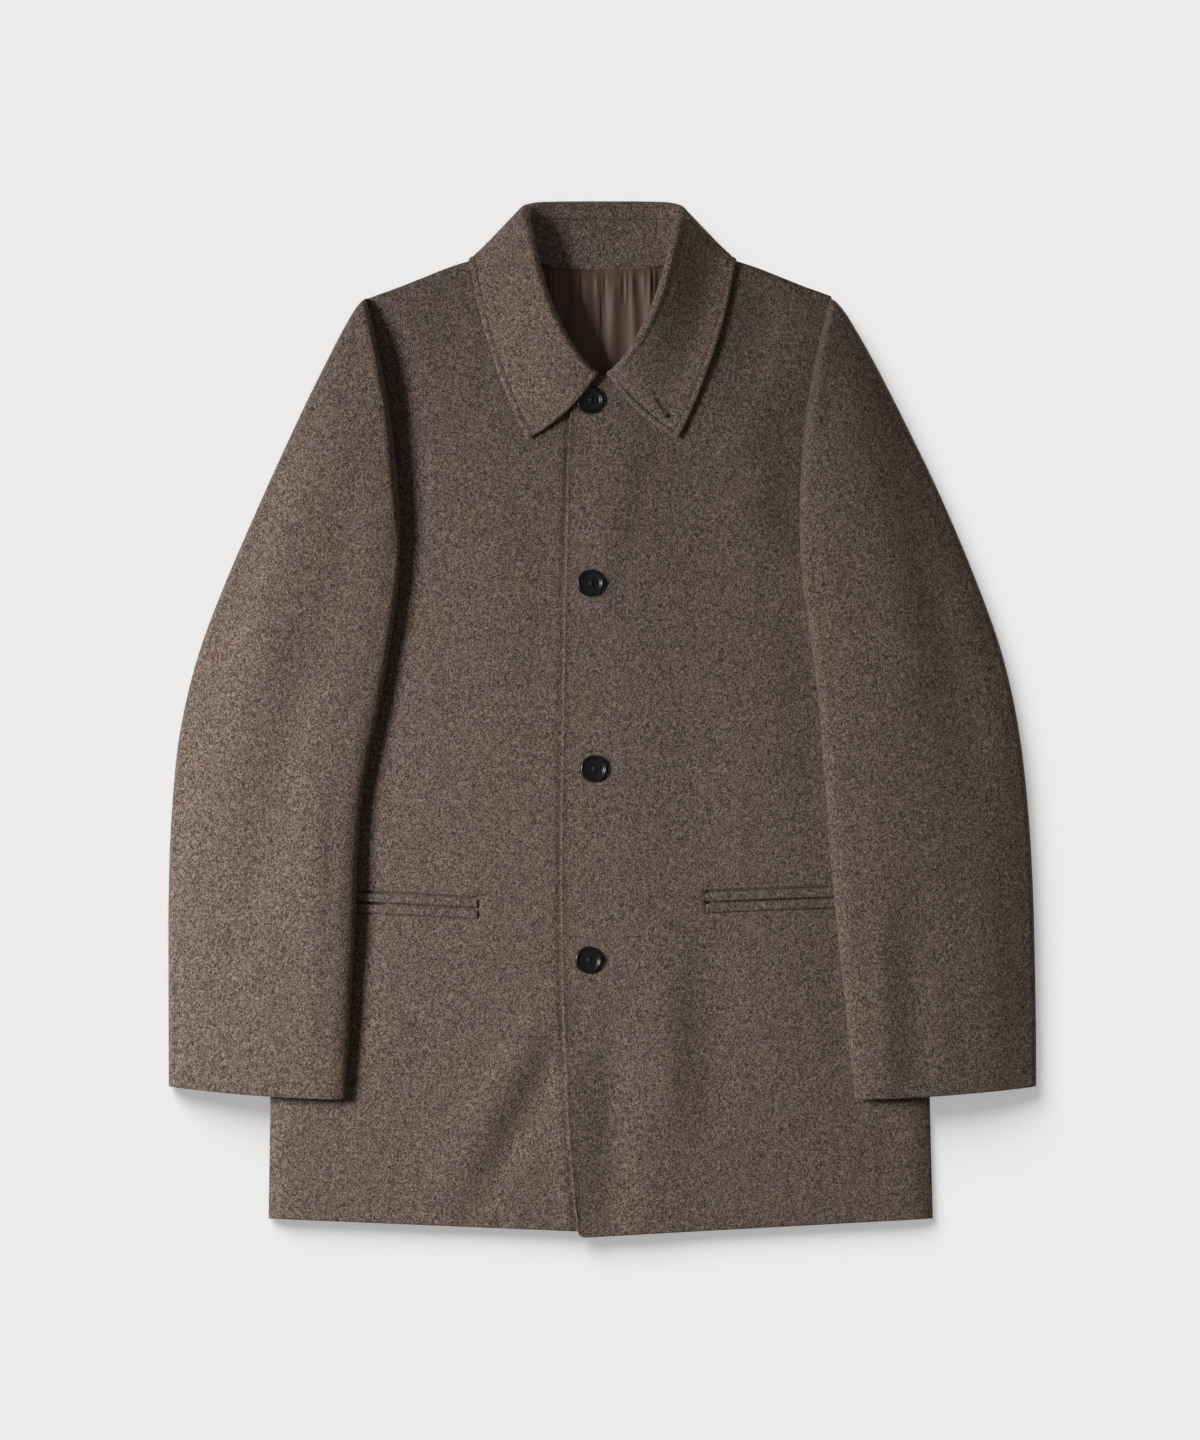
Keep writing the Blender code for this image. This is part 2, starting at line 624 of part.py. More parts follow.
def main():
    for old in list(bpy.data.objects):
        bpy.data.objects.remove(old, do_unlink=True)
    coat = bpy.data.collections.new("short_coat")
    cutters = bpy.data.collections.new("cutters")
    bpy.context.scene.collection.children.link(coat)
    bpy.context.scene.collection.children.link(cutters)
    wool = (0.115, 0.085, 0.069)
    pieces = [
        back_piece(plain_material("back wool", wool, 0.95)),
        lining_piece(plain_material("satin lining", (0.11, 0.07, 0.05), 0.4)),
        front_piece(
            "front_right", RIGHT_FRONT_EDGE, RIGHT_NECKLINE, RIGHT_SIDE, RIGHT_ARMHOLE,
            plain_material("right front wool", wool, 0.95), False,
        ),
        front_piece(
            "front_left", LEFT_FRONT_EDGE, LEFT_NECKLINE, LEFT_SIDE, LEFT_ARMHOLE,
            plain_material("left front wool", wool, 0.95), True,
        ),
        sleeve_piece("sleeve_right", -1, plain_material("right sleeve wool", wool, 0.95)),
        sleeve_piece("sleeve_left", 1, plain_material("left sleeve wool", wool, 0.95)),
    ]
    pieces.extend(collar_pieces(plain_material("collar wool", wool, 0.95)))
    welt_wool = plain_material("welt wool", wool, 0.95)
    pieces.extend(welt_pieces("right", RIGHT_POCKET, -1, welt_wool))
    pieces.extend(welt_pieces("left", LEFT_POCKET, 1, welt_wool))
    horn = plain_material("button", (0.011, 0.011, 0.011), 0.25)
    for number, spot in enumerate(BUTTON_SPOTS, start=1):
        pieces.append(button_piece("button_" + str(number), spot, horn, cutters))
    for piece in pieces:
        coat.objects.link(piece)


main()
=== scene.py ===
"""Short wool coat laid flat on its back: finished cloth, lining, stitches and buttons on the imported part.

Tables are in millimetres, seen from above: x to the viewer's right, y toward the collar, z up.
The wearer's left is on the viewer's right.
"""

import json
import math
from collections import namedtuple

import bmesh
import bpy
import numpy as np
from bpy.props import FloatProperty, FloatVectorProperty, IntProperty, PointerProperty
from bpy.types import Operator, Panel, PropertyGroup
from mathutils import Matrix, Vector

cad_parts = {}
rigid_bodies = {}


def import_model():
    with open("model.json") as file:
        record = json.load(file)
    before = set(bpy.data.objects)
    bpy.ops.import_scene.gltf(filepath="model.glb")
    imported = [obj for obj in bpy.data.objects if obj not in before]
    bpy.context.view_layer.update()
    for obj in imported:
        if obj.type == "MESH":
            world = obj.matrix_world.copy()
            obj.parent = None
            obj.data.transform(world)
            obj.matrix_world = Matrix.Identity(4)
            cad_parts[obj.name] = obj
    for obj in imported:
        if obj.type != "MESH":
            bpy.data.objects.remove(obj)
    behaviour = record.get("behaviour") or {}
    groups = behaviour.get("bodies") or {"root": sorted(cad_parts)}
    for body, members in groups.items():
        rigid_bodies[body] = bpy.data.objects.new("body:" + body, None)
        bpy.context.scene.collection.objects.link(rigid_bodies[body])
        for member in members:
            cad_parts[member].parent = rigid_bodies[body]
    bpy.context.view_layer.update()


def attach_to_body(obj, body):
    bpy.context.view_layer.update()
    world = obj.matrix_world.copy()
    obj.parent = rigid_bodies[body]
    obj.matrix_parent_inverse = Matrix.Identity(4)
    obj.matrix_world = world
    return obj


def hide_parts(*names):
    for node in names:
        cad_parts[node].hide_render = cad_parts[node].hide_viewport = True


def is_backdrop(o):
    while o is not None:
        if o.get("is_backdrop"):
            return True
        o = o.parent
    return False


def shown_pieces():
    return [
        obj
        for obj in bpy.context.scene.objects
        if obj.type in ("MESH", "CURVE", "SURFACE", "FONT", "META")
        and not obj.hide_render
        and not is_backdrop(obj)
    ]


bl_info = {
    "name": "Short Wool Coat",
    "version": (1, 0, 0),
    "blender": (4, 5, 0),
    "location": "View3D > Sidebar > Coat",
    "description": "Builds the cloth, lining, stitches and buttons of a short wool coat laid flat",
    "category": "Add Mesh",
}

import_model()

MM = 0.001

# Heights, widths and depths in mm; shares run from 0 to 1. Light and camera places are in metres.
FRONT_TOP = 10.0
FRONT_EDGE_TOP = 5.2
FRONT_EDGE_ROUND = 20.0
LAP_LIFT = 2.8
LAP_SWELL = 1.2
LAP_SWELL_WIDTH = 2.6
LAP_CREASE = 1.6
LAP_CREASE_WIDTH = 2.5
SHOULDER_TOP = 9.0
SHOULDER_END_TOP = 7.0
BACK_INSET = 1.8
NECK_RAISE = 3.7
NECK_LIFT = 2.6
SLEEVE_REST = 10.8
POCKET_LIFT = 0.9
SEAM_GAP = 0.35
ROLL_SEAM_GAP = -1.2

UNDERARM_SHARE = 0.62
NECK_SHARE = 0.87
BACK_NECK_FROM = 0.31

WELT_HEIGHT = 7.6
WELT_LENGTH = 145.0
WELT_RECESS = 1.1
WELT_GAP = 1.7
WELT_CROWN = 0.8
WELT_RIM = 1.5
UPPER_GROOVE = 3.4
LOWER_GROOVE = 1.3
GROOVE_WIDTH = 1.4
MOUTH_GROOVE = 3.6
MOUTH_WIDTH = 1.8
PLEAT_SPREAD = 52.0
LINING_HEM = -392.0
LINING_TOP = 376.0
LINING_RIM = 0.6
LIP_HEIGHT = 1.5
LIP_SLOPE = 7.0
LIP_STEP = 0.7

CORNER_ROUND = 7.0
ARMHOLE_DIP = 26.0
ARMHOLE_TUCK = 3.4
UNDERARM_TUCK = 12.0
UNDERARM_TURN = 45.0
SHOULDER_LAP = 0.9
SHOULDER_REACH = 6.6
# Painted light: the collar's wool is made this much lighter than the same wool on the body, standing in for
# brighter light on the collar.
COLLAR_PAINTED_LIGHT = 1.27
PUCKER_HEIGHT = 1.15
PUCKER_STEP = 13.0
SLEEVE_ROLL = 3.2
SLEEVE_SKEW = 0.78
STITCH_INSET = 5.6
STITCH_COLUMN = 8
EDGE_SWELL = 0.35
EDGE_GROOVE = 0.6
EDGE_GROOVE_WIDTH = 0.95
BAND_SEAM = 0.21
BAND_GROOVE = 1.2
BAND_GROOVE_WIDTH = 0.011
BUTTON_SINK = 0.6
HOLE_RADIUS = 0.9
HOLE_STEP = 1.6
THREAD_RADIUS = 0.34
KEYHOLE_EYELET = 1.8
BUTTONHOLE_EYELET = 1.05
SLIT_RADIUS = 0.42
SLIT_SIDE = 0.95
STITCH_WIDTH = 0.62
NAP_WIDTH = 0.11
KEY_PLACE = (-1.5, 0.1, 1.22)
KEY_TARGET = (-0.30, -0.46, 0.0)
KEY_SOFTNESS = 0.32
FLOOR_LIGHT_PLACE = (-0.9, 1.32, 1.0)
FILL_COLOUR = (1.0, 0.965, 0.945, 1.0)
CAMERA_PLACE = (-0.0021, -0.0004, 8.0)
RIM_STEPS = (0.0, 0.22, 0.6, 1.15, 1.9, 3.2, 5.2)
COLLAR_STEPS = (0.0, 0.22, 0.6, 1.15, 1.9, 3.2, 4.4, 5.0, 5.6, 6.2, 7.0, 8.6)
BUTTON_PROFILE = (
    (0.0, 0.0), (0.62, 0.0), (0.86, 0.5), (0.97, 1.4), (1.0, 2.5), (0.965, 3.6), (0.9, 4.15), (0.82, 4.0),
    (0.75, 3.3), (0.66, 2.75), (0.4, 2.5), (0.0, 2.4),
)
NAPPED = (
    "coat_back", "coat_front_right", "coat_front_left", "coat_sleeve_right", "coat_sleeve_left",
    "coat_collar_stand", "coat_collar_fall",
)

Spot = namedtuple("Spot", "x y")
Fold = namedtuple("Fold", "x0 y0 x1 y1 width height")
Ring = namedtuple(
    "Ring",
    "outer_x outer_y right_out left_x left_y right_x right_y outer_tall inner_tall crown left_bow right_bow",
)
Station = namedtuple(
    "Station",
    "fold_x fold_y fold_z edge_x edge_y edge_z seam_x seam_y seam_z roll twist bow",
)
Pocket = namedtuple("Pocket", "inner_x inner_y slope")
Pleat = namedtuple("Pleat", "x width height lean")


def spots(*pairs):
    """Outline or row of places from pairs of x and y."""
    return tuple(Spot(*pair) for pair in pairs)


# Outlines of the cut pieces.
LEFT_FRONT_EDGE = spots(
    (-20.5, -431.5), (-27.5, -360.0), (-33.3, -234.0), (-34.6, -165.0), (-32.9, 20.0), (-30.4, 145.0),
    (-26.7, 258.0), (-24.5, 282.0),
)
RIGHT_FRONT_EDGE = spots(
    (11.0, -427.5), (11.0, -80.0), (11.0, 284.0),
)
LEFT_NECKLINE = spots(
    (-24.5, 282.0), (-4.0, 285.5), (16.0, 289.0), (35.0, 305.0), (52.0, 331.0), (65.0, 359.0),
    (74.0, 380.0),
)
RIGHT_NECKLINE = spots(
    (11.0, 284.0), (-4.0, 286.0), (-18.0, 290.0), (-36.0, 305.0), (-53.0, 331.0), (-65.0, 359.0),
    (-74.0, 380.0),
)
LEFT_SIDE = spots(
    (275.6, -415.5), (273.2, -320.0), (274.0, -100.0), (276.0, 84.0),
)
RIGHT_SIDE = spots(
    (-278.6, -415.5), (-277.2, -320.0), (-276.5, -100.0), (-277.0, 84.0),
)
LEFT_ARMHOLE = spots(
    (276.0, 84.0), (238.0, 95.0), (200.0, 110.0), (175.0, 128.0), (165.5, 148.0), (162.9, 172.0),
    (163.2, 202.0), (165.8, 234.0), (170.3, 264.0), (177.0, 298.0), (185.0, 335.0),
)
RIGHT_ARMHOLE = spots(
    (-277.0, 84.0), (-240.0, 95.0), (-204.0, 110.0), (-180.0, 128.0), (-170.5, 148.0), (-168.3, 172.0),
    (-170.7, 202.0), (-173.7, 234.0), (-178.4, 264.0), (-185.6, 298.0), (-192.8, 335.0),
)
BACK_SHOULDER = spots(
    (188.0, 352.6), (150.0, 367.8), (128.0, 376.4), (111.0, 381.8), (72.0, 390.5),
)
BACK_NECK = spots(
    (72.0, 390.5), (54.0, 384.5), (30.0, 380.5), (0.0, 379.5),
)
SHOULDER_SEAM = spots(
    (185.0, 335.0), (148.0, 351.5), (108.0, 366.5), (74.0, 380.0),
)

# Folds from the photograph: ridges are positive, troughs negative.
FRONT_FOLDS = (
    Fold(-26.0, -258.0, -100.0, -402.0, 14.0, -3.6),
    Fold(-50.0, -244.0, -128.0, -386.0, 17.0, 3.2),
    Fold(7.0, -260.0, 9.0, -425.0, 15.0, -4.0),
    Fold(-33.0, -240.0, -24.0, -425.0, 12.0, 2.6),
    Fold(52.0, -200.0, 56.0, -335.0, 19.0, 3.2),
    Fold(93.0, -190.0, 94.0, -330.0, 22.0, -2.2),
    Fold(-90.0, 190.0, -84.0, 20.0, 34.0, 2.0),
    Fold(112.0, 280.0, 122.0, 120.0, 26.0, 2.0),
    Fold(44.0, 236.0, 16.0, 120.0, 12.0, -0.9),
    Fold(22.0, 256.0, -6.0, 105.0, 24.0, 2.8),
    Fold(-46.0, 150.0, -58.0, -60.0, 16.0, -0.7),
    Fold(60.0, 60.0, 84.0, -90.0, 22.0, -0.8),
    Fold(-150.0, -235.0, -196.0, -360.0, 20.0, -0.9),
    Fold(150.0, -230.0, 176.0, -380.0, 22.0, 0.9),
)
SLEEVE_TROUGHS = (
    Fold(-178.0, 338.0, -168.0, 250.0, 17.0, -2.6),
    Fold(142.0, 362.0, 112.0, 262.0, 24.0, -2.8),
    Fold(178.0, 300.0, 165.0, 160.0, 26.0, -2.4),
    Fold(167.0, 110.0, 186.0, -80.0, 25.0, -3.2),
    Fold(190.0, -110.0, 207.0, -300.0, 24.0, -2.6),
    Fold(-172.0, 150.0, -202.0, -80.0, 22.0, -1.6),
    Fold(-204.0, -110.0, -212.0, -300.0, 20.0, -1.4),
)
SLEEVE_FOLDS = (
    Fold(-240.0, 60.0, -304.0, -200.0, 19.0, -3.4),
    Fold(-257.0, 234.0, -296.0, 6.0, 33.0, 5.4),
    Fold(-197.0, 236.0, -221.0, 60.0, 20.0, -2.6),
    Fold(-234.0, -70.0, -230.0, -300.0, 20.0, 2.8),
    Fold(-274.0, 100.0, -322.0, -60.0, 20.0, 1.8),
    Fold(259.0, -160.0, 262.0, -330.0, 16.0, -2.8),
    Fold(228.0, -150.0, 230.0, -330.0, 14.0, 2.0),
    Fold(318.0, -120.0, 326.0, -330.0, 20.0, 1.8),
    Fold(222.0, 220.0, 258.0, 30.0, 24.0, 2.8),
    Fold(272.0, 130.0, 312.0, -60.0, 20.0, -2.0),
)
LINING_PLEATS = (
    Pleat(-41.0, 5.4, 1.6, 0.02),
    Pleat(-24.0, 6.0, 2.2, 0.02),
    Pleat(-11.0, 4.4, 1.6, -0.04),
    Pleat(10.0, 5.2, 2.7, -0.03),
    Pleat(25.0, 4.0, 1.8, 0.03),
    Pleat(38.0, 5.2, 2.5, 0.05),
)

SLEEVE_RINGS = (
    Ring(189.6, 350.8, 7.4, 164.0, 172.0, 168.4, 172.0, 7.0, 7.0, 0.0, 6.5, 4.8),
    Ring(196.0, 346.0, 6.4, 164.1, 152.0, 168.2, 152.0, 19.0, 11.5, 9.0, 5.0, 4.6),
    Ring(206.0, 332.5, 5.4, 165.2, 126.0, 168.8, 122.0, 20.0, 13.5, 9.5, 2.0, 2.6),
    Ring(226.0, 297.5, 3.8, 169.0, 94.0, 172.6, 88.0, 20.5, 13.5, 11.0, 0.0, 0.6),
    Ring(250.4, 250.0, 2.7, 175.0, 52.0, 179.2, 46.0, 19.0, 13.8, 10.5, 0.0, 0.0),
    Ring(282.2, 184.0, 1.2, 180.6, 5.0, 186.4, 5.0, 17.5, 14.2, 9.5, 0.0, 0.0),
    Ring(312.0, 113.0, 2.2, 184.0, -42.0, 195.4, -37.0, 16.0, 14.8, 9.0, 0.0, 0.0),
    Ring(333.4, 52.0, 3.6, 186.4, -70.0, 200.0, -66.0, 15.0, 14.8, 8.5, 0.0, 0.0),
    Ring(347.2, -12.0, 4.8, 189.0, -108.0, 203.0, -102.0, 15.0, 14.8, 8.0, 0.0, 0.0),
    Ring(354.8, -80.0, 4.0, 192.0, -143.0, 204.6, -140.0, 14.5, 14.6, 8.0, 0.0, 0.0),
    Ring(358.6, -145.0, 2.6, 196.4, -187.0, 206.2, -183.0, 14.0, 14.4, 7.5, 0.0, 0.0),
    Ring(360.2, -208.0, 1.2, 200.6, -226.0, 208.6, -223.0, 14.0, 14.2, 7.0, 0.0, 0.0),
    Ring(361.0, -258.0, 0.3, 204.6, -268.0, 210.8, -267.0, 13.5, 14.0, 6.0, 0.0, 0.0),
    Ring(361.2, -305.5, 0.0, 209.6, -316.0, 214.0, -316.0, 13.0, 13.6, 5.0, -2.0, -2.0),
)

COLLAR_STATIONS = (
    Station(2.4, 287.5, 19.0, 62.8, 232.8, 15.8, 8.5, 283.5, 14.4, 3.6, 0.0, -5.0),
    Station(13.0, 297.0, 24.0, 74.5, 257.0, 15.2, 23.0, 292.5, 14.4, 4.4, 0.0, -3.0),
    Station(24.5, 313.0, 28.0, 85.0, 282.5, 15.0, 38.0, 308.0, 14.2, 5.0, 0.0, -1.0),
    Station(35.0, 332.0, 31.0, 94.0, 308.5, 15.2, 53.0, 330.0, 13.8, 5.4, 0.0, 0.0),
    Station(44.0, 353.5, 33.0, 101.2, 332.5, 15.4, 64.5, 353.0, 13.4, 5.6, 0.0, 0.0),
    Station(51.8, 380.0, 33.0, 107.0, 358.0, 15.2, 71.5, 374.0, 13.0, 5.6, 0.0, 0.0),
    Station(57.2, 404.0, 30.0, 110.8, 380.0, 14.6, 72.0, 384.0, 13.4, 5.6, 25.0, 0.0),
    Station(61.2, 422.0, 23.0, 111.8, 381.6, 7.6, 66.0, 385.5, 13.2, 5.4, 90.0, 0.0),
    Station(56.0, 429.6, 14.0, 106.0, 376.0, 0.0, 56.5, 380.0, 12.0, 5.4, 150.0, 0.0),
    Station(38.0, 431.2, 7.4, 68.0, 367.0, 0.0, 41.0, 375.6, 11.4, 5.5, 176.0, 0.0),
    Station(19.0, 431.5, 5.6, 33.0, 364.8, 0.0, 20.5, 374.8, 11.4, 5.5, 180.0, 0.0),
    Station(0.0, 431.5, 5.5, 0.0, 364.0, 0.0, 0.0, 374.6, 11.4, 5.5, 180.0, 0.0),
)

BUTTON_SPOTS = spots(
    (-10.2, 265.4), (-10.0, 113.4), (-7.2, -41.0), (-11.6, -200.0),
)
BUTTONHOLE_ENDS = (10.0, 13.6, 10.0, 14.4)
COLLAR_KEYHOLE = ((53.7, 252.9), (43.7, 267.0))
LEFT_POCKET = Pocket(86.5, -152.4, 0.036)
RIGHT_POCKET = Pocket(-104.0, -157.6, 0.054)


def ease(low, high, value):
    """Smooth step from 0 at low to 1 at high."""
    share = np.clip((value - low) / (high - low), 0.0, 1.0)
    return share * share * (3.0 - 2.0 * share)


def hump(value, width):
    """Soft bump: 1 where the value is 0, fading over the width."""
    return np.exp(-(value / width) ** 2)


def smooth_rows(rows, marks, shares):
    """Values at the shares of a smooth curve through table rows that stand at the marks."""
    values = np.array(rows, dtype=float)
    slopes = np.gradient(values, marks, axis=0)
    shares = np.asarray(shares, dtype=float)
    index = np.clip(np.searchsorted(marks, shares, side="right") - 1, 0, len(marks) - 2)
    span = (marks[index + 1] - marks[index])[:, None]
    part = ((shares - marks[index]) / span[:, 0])[:, None]
    keep = 2 * part ** 3 - 3 * part ** 2 + 1
    lead = (part ** 3 - 2 * part ** 2 + part) * span
    trail = (part ** 3 - part ** 2) * span
    return (
        keep * values[index] + lead * slopes[index]
        + (1 - keep) * values[index + 1] + trail * slopes[index + 1]
    )


def along(rows, shares):
    """Points at shares of the length of the outline through the rows."""
    steps = np.linalg.norm(np.diff(np.array(rows, dtype=float), axis=0), axis=1)
    marks = np.concatenate(([0.0], np.cumsum(steps)))
    return smooth_rows(rows, marks / marks[-1], shares)


def joined(first, second, change, shares):
    """Outline that follows one table up to the change share, then the next one."""
    before = along(first, np.clip(shares / change, 0.0, 1.0))
    after = along(second, np.clip((shares - change) / (1.0 - change), 0.0, 1.0))
    return np.where((shares <= change)[:, None], before, after)


def patch(bottom, top, start, end, across, up):
    """Plan of a panel spanned between its four outlines."""
    across = across[None, :, None]
    up = up[:, None, None]
    ruled = (1 - up) * bottom[None] + up * top[None]
    ruled = ruled + (1 - across) * start[:, None] + across * end[:, None]
    corners = (
        (1 - across) * (1 - up) * bottom[0] + across * (1 - up) * bottom[-1]
        + (1 - across) * up * top[0] + across * up * top[-1]
    )
    return ruled - corners


def fold_height(folds, x, y):
    """Height that the soft folds add at a spot."""
    total = np.zeros(np.broadcast(x, y).shape)
    for fold in folds:
        run_x = fold.x1 - fold.x0
        run_y = fold.y1 - fold.y0
        length = math.hypot(run_x, run_y)
        ahead = ((x - fold.x0) * run_x + (y - fold.y0) * run_y) / length
        aside = ((x - fold.x0) * run_y - (y - fold.y0) * run_x) / length
        fade = ease(-0.25 * length, 0.3 * length, ahead)
        fade = fade * (1 - ease(0.7 * length, 1.25 * length, ahead))
        total = total + fold.height * hump(aside, fold.width) * fade
    return total


def neck_raise(x, y):
    """Lift of the back where the collar fall lies under it."""
    return NECK_RAISE * ease(290.0, 361.0, y) * (1 - ease(116.0, 160.0, np.abs(x)))


def neck_lift(x, y):
    """Lift of the fronts round the neck, over the raised back and its lining."""
    return NECK_LIFT * ease(285.0, 345.0, y) * (1 - ease(92.0, 140.0, np.abs(x)))


def lap_lift(x):
    """Lift of the left front where it laps over the right one."""
    return LAP_LIFT * (1 - ease(16.0, 95.0, x))


def sleeve_rest(x, y, early=0.0):
    """Height that a sleeve rests on: the front, falling away to the floor from the armhole on."""
    side = 1 - ease(264.0, 328.0, np.abs(x))
    armhole = 84.0 + 0.6 * np.clip(276.0 - np.abs(x), 0.0, 111.0)
    underarm = 1 - ease(-10.0, 45.0, y - armhole + early)
    beside_pocket = 1 - ease(238.0, 285.0, np.abs(x))
    around_pocket = ease(-215.0, -172.0, y) * (1 - ease(-128.0, -85.0, y))
    return SLEEVE_REST * side * underarm + POCKET_LIFT * beside_pocket * around_pocket


def front_height(x, y):
    """Top of a front, away from its outer edge."""
    open_front = 1 - ease(140.0, 175.0, np.abs(x))
    shoulder = ease(250.0, 345.0, y + 0.4 * (np.abs(x) - 111.0))
    top = FRONT_TOP + fold_height(FRONT_FOLDS, x, y) * open_front + fold_height(SLEEVE_TROUGHS, x, y)
    return top + (SHOULDER_TOP - FRONT_TOP) * shoulder + neck_lift(x, y)


def pocket_recess(pocket, sign, x, y):
    """Depth of the shallow bed that a pocket's lips are sewn into."""
    run = sign * (x - pocket.inner_x)
    above = y - pocket.inner_y - pocket.slope * run
    inside = 1 - ease(WELT_HEIGHT - 1.0, WELT_HEIGHT + 2.5, np.abs(above))
    seam = WELT_HEIGHT + 1.0
    grooves = UPPER_GROOVE * hump(above - seam, GROOVE_WIDTH)
    grooves = grooves + LOWER_GROOVE * hump(above + seam, GROOVE_WIDTH)
    grooves = grooves + MOUTH_GROOVE * hump(above, MOUTH_WIDTH)
    along_it = ease(-3.0, 0.8, run) * (1 - ease(WELT_LENGTH - 1.0, WELT_LENGTH + 3.0, run))
    return (WELT_RECESS * inside + grooves) * along_it


def rim_shares(length, count, first=True, last=True):
    """Shares along a length in mm: even in the middle, close together at the rims."""
    edge = np.array([step / length for step in RIM_STEPS if step < 0.35 * length])
    low = edge[-1] if first else 0.0
    high = 1 - edge[-1] if last else 1.0
    parts = [np.linspace(low, high, count)]
    if first:
        parts.insert(0, edge[:-1])
    if last:
        parts.append(1 - edge[-2::-1])
    return np.concatenate(parts)


def grid_normals(points, closed):
    """Unit normals of a grid of points, to the left of its rows."""
    if closed:
        wide = np.roll(points, -1, axis=1) - np.roll(points, 1, axis=1)
    else:
        wide = np.gradient(points, axis=1)
    normals = np.cross(wide, np.gradient(points, axis=0))
    return normals / np.maximum(np.linalg.norm(normals, axis=2, keepdims=True), 1e-9)


def grid_run(points, axis):
    """Distance in mm of each grid point from the grid's first edge, along one axis."""
    step = np.linalg.norm(np.diff(points, axis=axis), axis=2)
    first = np.zeros_like(np.take(points[..., 0], [0], axis=axis))
    return np.concatenate((first, np.cumsum(step, axis=axis)), axis=axis)


def rim_distance(points, closed):
    """Distance in mm of each grid point from the nearest rim, along the rows and columns."""
    run = grid_run(points, 0)
    nearest = np.minimum(run, run[-1] - run)
    if not closed:
        run = grid_run(points, 1)
        nearest = np.minimum(nearest, np.minimum(run, run[:, -1:] - run))
    return nearest


def shell(name, outer, wall, rim, closed=False, turned=False, kept=None):
    """Cloth of one wall from the grid of its outer face, with rounded rims all round."""
    rows, columns = outer.shape[:2]
    normals = grid_normals(outer, closed) * (-1.0 if turned else 1.0)
    swell = np.sqrt(1 - (1 - np.clip(rim_distance(outer, closed) / rim, 0.0, 1.0)) ** 2)
    half = (0.5 * wall * swell)[..., None] * normals
    middle = outer - 0.5 * wall * normals
    upper = np.arange(rows * columns).reshape(rows, columns)
    lower = upper + rows * columns
    lower[0] = upper[0]
    lower[-1] = upper[-1]
    if not closed:
        lower[:, 0] = upper[:, 0]
        lower[:, -1] = upper[:, -1]
    verts = np.concatenate(((middle + half).reshape(-1, 3), (middle - half).reshape(-1, 3))) * MM
    faces = []
    for index, back in ((upper, turned), (lower, not turned)):
        if closed:
            index = np.concatenate((index, index[:, :1]), axis=1)
        ring = (index[:-1, :-1], index[:-1, 1:], index[1:, 1:], index[1:, :-1])
        quads = np.stack(ring[::-1] if back else ring, axis=2)
        faces.append(quads[kept] if kept is not None else quads.reshape(-1, 4))
    if kept is not None:
        faces.append(cut_sides(upper, lower, kept))
    mesh = bpy.data.meshes.new(name)
    mesh.from_pydata(verts.tolist(), [], np.concatenate(faces).tolist())
    tidy_mesh(mesh)
    return add_piece(name, mesh)


def cut_sides(upper, lower, kept):
    """Faces that close a wall where part of its grid is left out."""
    sides = []
    for i, j in np.argwhere(kept[:-1] != kept[1:]):
        row = i + 1
        sides.append((upper[row, j], upper[row, j + 1], lower[row, j + 1], lower[row, j]))
    for i, j in np.argwhere(kept[:, :-1] != kept[:, 1:]):
        column = j + 1
        sides.append((upper[i, column], upper[i + 1, column], lower[i + 1, column], lower[i, column]))
    return np.array(sides)


def tidy_mesh(mesh):
    """Removes loose points and flat faces, and shades the cloth smooth."""
    shape = bmesh.new()
    shape.from_mesh(mesh)
    bmesh.ops.delete(shape, geom=[v for v in shape.verts if not v.link_faces], context="VERTS")
    bmesh.ops.dissolve_degenerate(shape, dist=1e-7, edges=shape.edges)
    bmesh.ops.recalc_face_normals(shape, faces=shape.faces)
    for face in shape.faces:
        face.smooth = True
    shape.to_mesh(mesh)
    shape.free()


def add_piece(name, mesh):
    """New object at the origin, with its place in its mesh."""
    piece = bpy.data.objects.new(name, mesh)
    bpy.context.scene.collection.objects.link(piece)
    return piece


def dress(piece, material, node=None):
    """Finishes a piece: its material, its body and the CAD node it stands for."""
    piece.data.materials.clear()
    piece.data.materials.append(material)
    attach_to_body(piece, "root")
    if node:
        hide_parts(node)
    return piece


